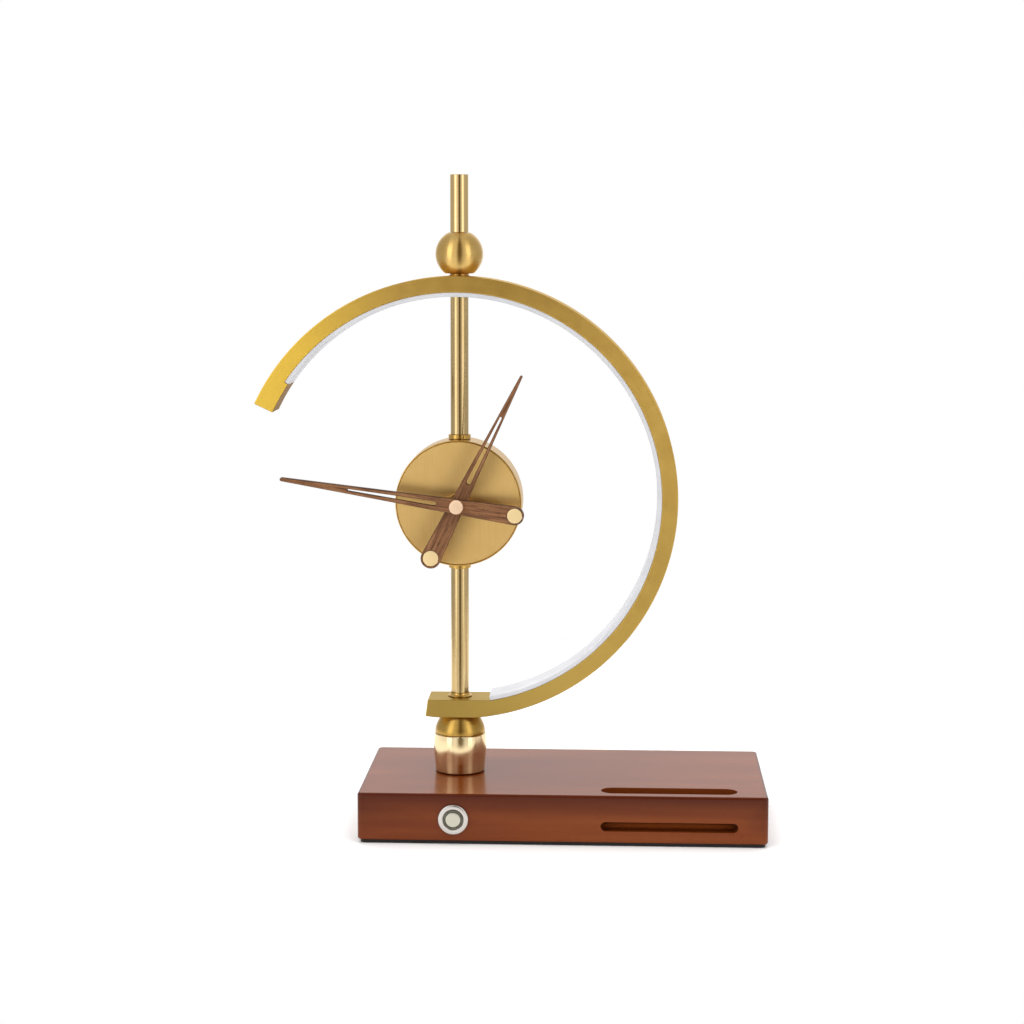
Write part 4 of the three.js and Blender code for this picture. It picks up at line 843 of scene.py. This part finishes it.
def makeRing():
    p = ringPiece
    z0, z1 = span("ring_frame", "Z")
    outer, band, floor = p["outer"], p["band"], p["floor"]
    lower, upper = p["lowerBlock"], p["upperBlock"]
    centre = (columnX + p["shiftX"], 0, z1 - outer)
    half, groove = p["depth"] / 2, p["depth"] / 2 - p["wall"]
    channel = closedFillet([(band, -half), (outer, -half), (outer, half), (band, half), (band, groove),
                            (floor, groove), (floor, -groove), (band, -groove)], p["edge"])
    arc = swept("ringFrameGold", channel, lower, upper, "aluminiumGold", centre, False)
    under = outer - p["flat"]  # the foot stands on a flat, the collar on another
    seat = under - p["thick"]
    kink = degrees(acos(under / outer))
    bm = bmesh.new()
    bm.from_mesh(arc.data)
    addBlock(bm, centre, channel, lower, p["lowerEnd"], lambda a: seat / abs(sin(radians(a))),
             lambda a: min(outer, under / abs(sin(radians(a)))), (-90 - kink, -90 + kink))
    addBlock(bm, centre, channel, upper, p["upperEnd"], lambda a: p["inner"], lambda a: outer)
    bm.to_mesh(arc.data)
    bm.free()
    welded(arc.data, 2e-6)
    cutBy(arc, [
        cutter("pipeTool", circle(columnX, 0, bore["pipe"], 24), z0 - p["clear"], z0 + p["pipeDeep"]),
        cutter("tieTool", circle(columnX, 0, bore["tie"], 24), z1 - p["tieDeep"], z1 + p["clear"]),
    ])

    def polarUv(co, face):  # U runs round the ring from its opening, V across its faces
        x, z = co.x - centre[0] * mm, co.z - centre[2] * mm
        turn = (atan2(z, x) + radians(p["opening"])) % (2 * pi)
        return turn * outer * mm, hypot(x, z) if abs(face.normal.y) > 0.7 else co.y + outer * mm

    def milledShade(co, face):  # painted shade on the inner face and end face of the free end
        x, z = face.center.x / mm - centre[0], face.center.z / mm - centre[2]
        inward = -(face.normal.x * x + face.normal.z * z) / hypot(x, z)
        return float(degrees(atan2(z, x)) > upper + 0.3 and abs(face.normal.y) < 0.97 and inward > -0.5)

    mapUv(arc.data, polarUv)
    settled(arc)
    markCorners(arc.data, "milledShade", milledShade)
    standsFor(arc, "lamp", "gold_aluminium", "ring_frame")
    lip, tongue = half - p["slack"], groove - p["slack"]
    back, deep = band - p["seam"], band + p["tongue"]
    section = closedFillet([(p["inner"], -lip), (back, -lip), (back, -tongue), (deep, -tongue), (deep, tongue),
                            (back, tongue), (back, lip), (p["inner"], lip)], p["bandEdge"])
    diffuser = swept("ringDiffuserOpal", section, lower + p["gap"], upper - p["gap"], "silicone", centre)
    cutBy(diffuser, [cutter("rodTool", circle(columnX, 0, p["rodHole"], 48),
                            centre[2] + p["rodFrom"], centre[2] + p["rodTo"])])
    mapUv(diffuser.data, polarUv)
    standsFor(settled(diffuser), "lamp", "opal_silicone", "ring_diffuser")


makeRing()
print("ring made")


# Drum clock

clockPiece = {
    "steps": 160, "lip": 0.7, "wall": 1.5, "wallDepth": 0.85, "edge": 0.35, "lipEdge": 0.15, "backEdge": 0.2,
    "dialGap": 0.2, "dialEdge": 0.25, "dialRings": 12, "bush": 4.3, "washer": 6.5, "washerEdge": 0.2,
    "capCrown": [(0.75, 0.16), (0.35, 0.32), (0.1, 0.6), (0, 0.95)], "capRise": 0.05, "capEdge": 0.15,
    "capHole": 1.5, "capHoleDepth": 1.2,
}


def makeClock():
    p = clockPiece
    centre, radius = axisOf("clock_case"), halfWidth("clock_case")
    hole, steps = p["bush"], p["steps"]
    front, back = span("clock_case", "Y")
    wall = front + p["wallDepth"]
    lip, inner = radius - p["lip"], radius - p["wall"]
    e, s = p["edge"], p["lipEdge"]
    rounding = [(e, 0), (e * 0.3, e * 0.3), (0, e)]
    profile = [(hole, wall), (lip, wall), (lip, front + s), (lip + s, front), *rimmed(radius, front, rounding),
               *[(radius - inset, back - depth) for inset, depth in reversed(rounding)],
               (inner + p["backEdge"], back), (inner, back - p["backEdge"]),
               (inner, wall + p["wall"]), (hole, wall + p["wall"])]
    lathed("clockCaseBrass", "brassCase", "brushed_brass", "clock_case", profile, centre, steps=steps)
    front, back = span("dial_plate", "Y")
    r, g, count = lip - p["dialGap"], p["dialEdge"], p["dialRings"]
    rings = [(hole + i * (r - g - hole) / count, front) for i in range(count + 1)]
    profile = [*rings, (r, front + g), (r, back), (hole, back)]
    dial = turned("dialPlateBrass", profile, "brassDial", "Y", centre, steps)
    mapUv(dial.data, lambda co, face: (co.x, co.z))
    standsFor(dial, "lamp", "brushed_brass", "dial_plate")
    front, back = span("bush_washer", "Y")
    profile = filleted([(hole, front), (p["washer"], front), (p["washer"], back), (hole, back)], p["washerEdge"])
    lathed("bushWasherBrass", "brassSatin", "satin_brass", "bush_washer", profile, centre)
    front, back = span("hub_cap", "Y")
    r, e, bottom = halfWidth("hub_cap"), p["capEdge"], front + p["capHoleDepth"]
    profile = [(0, front), (r * 0.5, front + p["capRise"]), *rimmed(r, front, p["capCrown"]), (r, back - e),
               (r - e, back), (p["capHole"], back), (p["capHole"], bottom), (0, bottom)]
    lathed("hubCapBrass", "brassRose", "polished_brass", "hub_cap", profile, centre, body="minute_set")
    return centre


clockCentre = makeClock()
print("drum made")


# Hands

handPieces = {
    "hour": {"angle": 26.4, "length": 85.7, "tail": 35.4, "tailR": 6, "tipR": 0.8, "slot": (14, 58.6, 2.8, 1.2),
             "discR": 4.6, "bore": 2.75},
    "minute": {"angle": 278.6, "length": 105.4, "tail": 34.7, "tailR": 5.5, "tipR": 1.1,
               "slot": (11.9, 65, 2.75, 1.1), "discR": 4.4, "bore": 1.5},
}
handFinish = {"edge": 0.45, "seatGap": 0.15, "burn": 0.85, "discEdge": 0.2,
              "crown": [(0.5, 0.02), (0.2, 0.12), (0, 0.35)]}


def makeHand(name, p):
    f = handFinish
    node, disc, body = name + "_hand", name + "_hand_disc", name + "_set"
    start, end, wide, narrow = p["slot"]

    def bar(low, lowR, high, highR, lowSteps):
        return arcPoints(0, low, lowR, 180, 360, lowSteps) + arcPoints(0, high, highR, 0, 180, 12)

    outlines = [bar(-p["tail"], p["tailR"], p["length"] - p["tipR"], p["tipR"], 24),
                bar(start + wide / 2, wide / 2, end - narrow / 2, narrow / 2, 12),
                circle(0, 0, p["bore"], 24), circle(0, -p["tail"], p["discR"] + f["seatGap"], 48)]
    place = Matrix.Translation(Vector(clockCentre) * mm) @ Matrix.Rotation(radians(p["angle"]), 4, "Y") @ upright
    front, back = span(node, "Y")
    hand = settled(flatPiece(name + "HandWalnut", outlines, -back, -front, f["edge"], "walnut", place))
    markCorners(hand.data, "edgeBurn", lambda co, face: f["burn"] if abs(face.normal.y) < 0.9 else 0.0)
    standsFor(hand, body, "walnut", node)
    front, back = span(disc, "Y")
    r, e = p["discR"], f["discEdge"]
    profile = [(0, front), (r * 0.5, front), *rimmed(r, front, f["crown"]), (r, back - e), (r - e, back), (0, back)]
    lathed(name + "DiscBrass", "brassPale", "polished_brass", disc, profile, axisOf(disc), body=body)


for handName, handSizes in handPieces.items():
    makeHand(handName, handSizes)
print("hands made")


# Push switch

switchPiece = {
    "barrel": 7.7, "ringWall": 0.95, "ringEdge": 0.15, "slip": 0.3, "seatDepth": 7, "face": -60.05,
    # rims as [inset from the radius, depth behind the front]
    "seatRim": [(0, 0.25), (-0.25, 0.03)], "bezelRim": [(1.1, 0), (0.5, 0.18), (0.15, 0.55), (0, 1.1)],
    "buttonRim": [(0.7, 0), (0.25, 0.1), (0, 0.4)], "buttonDish": (0.12, 0.09), "heel": (7.5, 9), "stem": 1.5,
}


def makeSwitch():
    p = switchPiece
    centre = axisOf("switch_body")
    front, back = span("switch_body", "Y")
    bezel, ring, heel = (halfWidth("switch_" + end) for end in ("body", "light_ring", "button"))
    hole = ring - p["ringWall"]
    seat, guide, button = ring + p["slip"], heel + p["slip"], hole - p["slip"]
    shoulder, face, barrel = front + p["seatDepth"], p["face"], p["barrel"]
    profile = [*rimmed(seat, front, p["seatRim"]), *rimmed(bezel, front, p["bezelRim"]), (bezel, face),
               (barrel, face), (barrel, back), (guide, back), (guide, shoulder), (seat, shoulder)]
    lathed("switchBezelSteel", "stainless", "stainless", "switch_body", profile, centre)
    front, back = span("switch_light_ring", "Y")
    profile = filleted([(hole, front), (ring, front), (ring, back), (hole, back)], p["ringEdge"])
    lathed("switchLightRing", "smoked", "smoked_plastic", "switch_light_ring", profile, centre)
    front, back = span("switch_button", "Y")
    middle, halfway = (front + dip for dip in p["buttonDish"])
    heelFront, heelBack = (front + depth for depth in p["heel"])
    profile = [(0, middle), (button * 0.5, halfway), *rimmed(button, front, p["buttonRim"]), (button, heelFront),
               (heel, heelFront), (heel, heelBack), (p["stem"], heelBack), (p["stem"], back), (0, back)]
    lathed("switchButtonSteel", "stainlessBlasted", "stainless", "switch_button", profile, centre,
           body="push_button")


def springTree():
    tree, sockets, given = newTree("closedEndSpring", Turns="Float", Radius="Float", Length="Float", Wire="Float",
                                   PointsPerTurn="Int", Closing="Float")
    spiral = addNode(tree, "GeometryNodeCurveSpiral", {
        "Resolution": given["PointsPerTurn"], "Rotations": given["Turns"], "Start Radius": given["Radius"],
        "End Radius": given["Radius"], "Height": given["Length"]})
    along = addNode(tree, "GeometryNodeSplineParameter")
    eased = addNode(tree, "ShaderNodeMapRange", {"Value": along.outputs["Factor"]}, interpolation_type="SMOOTHSTEP")
    shift = eased.outputs[0]
    for operation, other in (("SUBTRACT", along.outputs["Factor"]), ("MULTIPLY", given["Closing"]),
                             ("MULTIPLY", given["Length"])):
        shift = addNode(tree, "ShaderNodeMath", {0: shift, 1: other}, operation=operation).outputs[0]
    lift = addNode(tree, "ShaderNodeCombineXYZ", {"Z": shift})
    path = addNode(tree, "GeometryNodeSetPosition", {"Geometry": spiral.outputs[0], "Offset": lift.outputs[0]})
    section = addNode(tree, "GeometryNodeCurvePrimitiveCircle", {"Resolution": 10, "Radius": given["Wire"]})
    wire = addNode(tree, "GeometryNodeCurveToMesh", {
        "Curve": path.outputs[0], "Profile Curve": section.outputs[0], "Fill Caps": True})
    return closeTree(tree, sockets, wire.outputs[0], given)


woundTree = springTree()


def wound(name, p, finish, place):
    # wire wound along its own Z axis, then set in place
    radius = p["radius"] * mm
    obj = grown(name, woundTree, finish, Turns=p["turns"], Radius=radius, Length=p["length"] * mm,
                Wire=p["wire"] * mm, PointsPerTurn=p["pointsPerTurn"], Closing=p["closing"])
    welded(obj.data, 1e-7)
    mapUv(obj.data, lambda co, face: (atan2(co.y, co.x) * radius, co.z))
    obj.data.transform(place)
    return settled(obj, 50)


springPiece = {"turns": 4, "radius": 3, "wire": 0.35, "pointsPerTurn": 28, "closing": 1.0, "travel": 2}


def makeSpring():
    p = springPiece
    front, back = span("switch_spring", "Y")
    rest = back - front
    x, _, z = (v * mm for v in middleOf("switch_spring"))
    place = Matrix.Translation((x, (front + p["wire"]) * mm, z)) @ backward
    spring = wound("switchSpringSteel", {**p, "length": rest - 2 * p["wire"]}, "springSteel", place)
    standsFor(spring, "lamp", "spring_steel", "switch_spring")
    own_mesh(spring)


makeSwitch()
makeSpring()
print("switch made")


# Setting knob and coil of the movement

knobPiece = {"flutes": 18, "sidesPerFlute": 10, "fluteDepth": 0.55, "edge": 0.3, "dish": 4.6, "dishDepth": 0.5,
             "arbor": 0.95, "arborDepth": 2.6}


def knobTree():
    tree, sockets, given = newTree("flutedKnob", Radius="Float", Height="Float", Sides="Int", Flutes="Int",
                                   Inward="Float")
    blank = addNode(tree, "GeometryNodeMeshCylinder", {
        "Vertices": given["Sides"], "Radius": given["Radius"], "Depth": given["Height"]})
    place = addNode(tree, "GeometryNodeInputPosition")
    split = addNode(tree, "ShaderNodeSeparateXYZ", {"Vector": place.outputs[0]}).outputs
    wave = split["Y"]
    for operation, other in (("ARCTAN2", split["X"]), ("MULTIPLY", given["Flutes"]), ("COSINE", 0.0)):
        wave = addNode(tree, "ShaderNodeMath", {0: wave, 1: other}, operation=operation).outputs[0]
    dip = addNode(tree, "ShaderNodeMapRange", {
        "Value": wave, "From Min": -1.0, "To Min": given["Inward"], "To Max": 0.0})
    flat = addNode(tree, "ShaderNodeCombineXYZ", {"X": split["X"], "Y": split["Y"]})
    offset = addNode(tree, "ShaderNodeVectorMath", {0: flat.outputs[0], "Scale": dip.outputs[0]}, operation="SCALE")
    fluted = addNode(tree, "GeometryNodeSetPosition", {
        "Geometry": blank.outputs["Mesh"], "Offset": offset.outputs[0]})
    return closeTree(tree, sockets, fluted.outputs[0], given)


def makeKnob():
    p = knobPiece
    x, y, z = middleOf("setting_knob")
    front, back = span("setting_knob", "Y")
    radius, flutes = halfWidth("setting_knob"), p["flutes"]
    knob = grown("settingKnobNylon", knobTree(), "nylon", Radius=radius * mm, Height=(back - front) * mm,
                 Sides=flutes * p["sidesPerFlute"], Flutes=flutes, Inward=-p["fluteDepth"] / radius)
    knob.data.transform(Matrix.Translation(Vector((x, y, z)) * mm) @ backward)
    cutBy(knob, [
        cutter("dishTool", circle(x, z, p["dish"], 48), -back - 2, p["dishDepth"] - back, upright),
        cutter("arborTool", circle(x, z, p["arbor"], 24), -front - p["arborDepth"], 2 - front, upright),
    ])
    edged(knob, p["edge"], 50)
    standsFor(settled(knob), "setting_set", "black_nylon", "setting_knob")


coilPiece = {"turns": 38, "radius": 3.28, "wire": 0.19, "length": 15.0, "pointsPerTurn": 20, "closing": 0.0,
             "core": 3.05, "flange": 1.2, "edge": 0.2}


def makeCoil():
    p = coilPiece
    low, high = span("stepper_coil", "Z")
    half, wide, core = (high - low) / 2, halfWidth("stepper_coil"), p["core"]
    middle = Vector(middleOf("stepper_coil"))
    place = Matrix.Translation((middle - Vector((0, 0, p["length"] / 2))) * mm)
    winding = wound("stepperCoilCopper", p, "copper", place)
    standsFor(winding, "lamp", "copper_wire", "stepper_coil")
    cheek = half - p["flange"]
    profile = filleted([(0, -half), (wide, -half), (wide, -cheek), (core, -cheek), (core, cheek), (wide, cheek),
                        (wide, half), (0, half)], p["edge"])
    lathed("stepperCoilBobbin", "acetal", "acetal", "stepper_coil", profile, middle, "Z")


makeKnob()
makeCoil()
print("knob and coil made")


# Nodes that keep their own shape, with broken edges or as they are

softNodes = {
    # finish and slot, then the edge of each node
    ("nylon", "black_nylon"): {"movement_front": 0.4, "movement_rear": 0.4, "power_inlet": 0.25},
    ("zincSteel", "zinc_steel"): {"case_lower_nut": 0.3, "case_upper_nut": 0.3},
    ("brassSatin", "satin_brass"): {"bush_nut": 0.25, "case_lower_collar": 0.25, "case_upper_collar": 0.25},
}
for (finish, slot), edges in softNodes.items():
    for node, edge in edges.items():
        softened(node, finish, slot, edge)

plainNodes = {
    "zincSteel": ["base_plate", "base_screw_1", "base_screw_2", "base_screw_3", "base_screw_4", "switch_nut",
                  "power_inlet_nut", "column_nut", "threaded_pipe", "upper_tie_rod"],
    "laminate": ["driver_board", "quartz_board"],
    "sheath": ["led_lead"],
    "springSteel": ["cell_contact_plus", "cell_contact_minus"],
    "nylon": ["switch_terminals"],
    "strip": ["led_strip"],
    "brassSatin": ["movement_bush"],
    "stainless": ["minute_arbor"],
    "acetal": ["hour_wheel", "minute_wheel"],
    "cellCan": ["cell"],
}
for finish, names in plainNodes.items():
    for node in names:
        coat(nodes[node].data, finishes[finish])
print("inner nodes dressed")
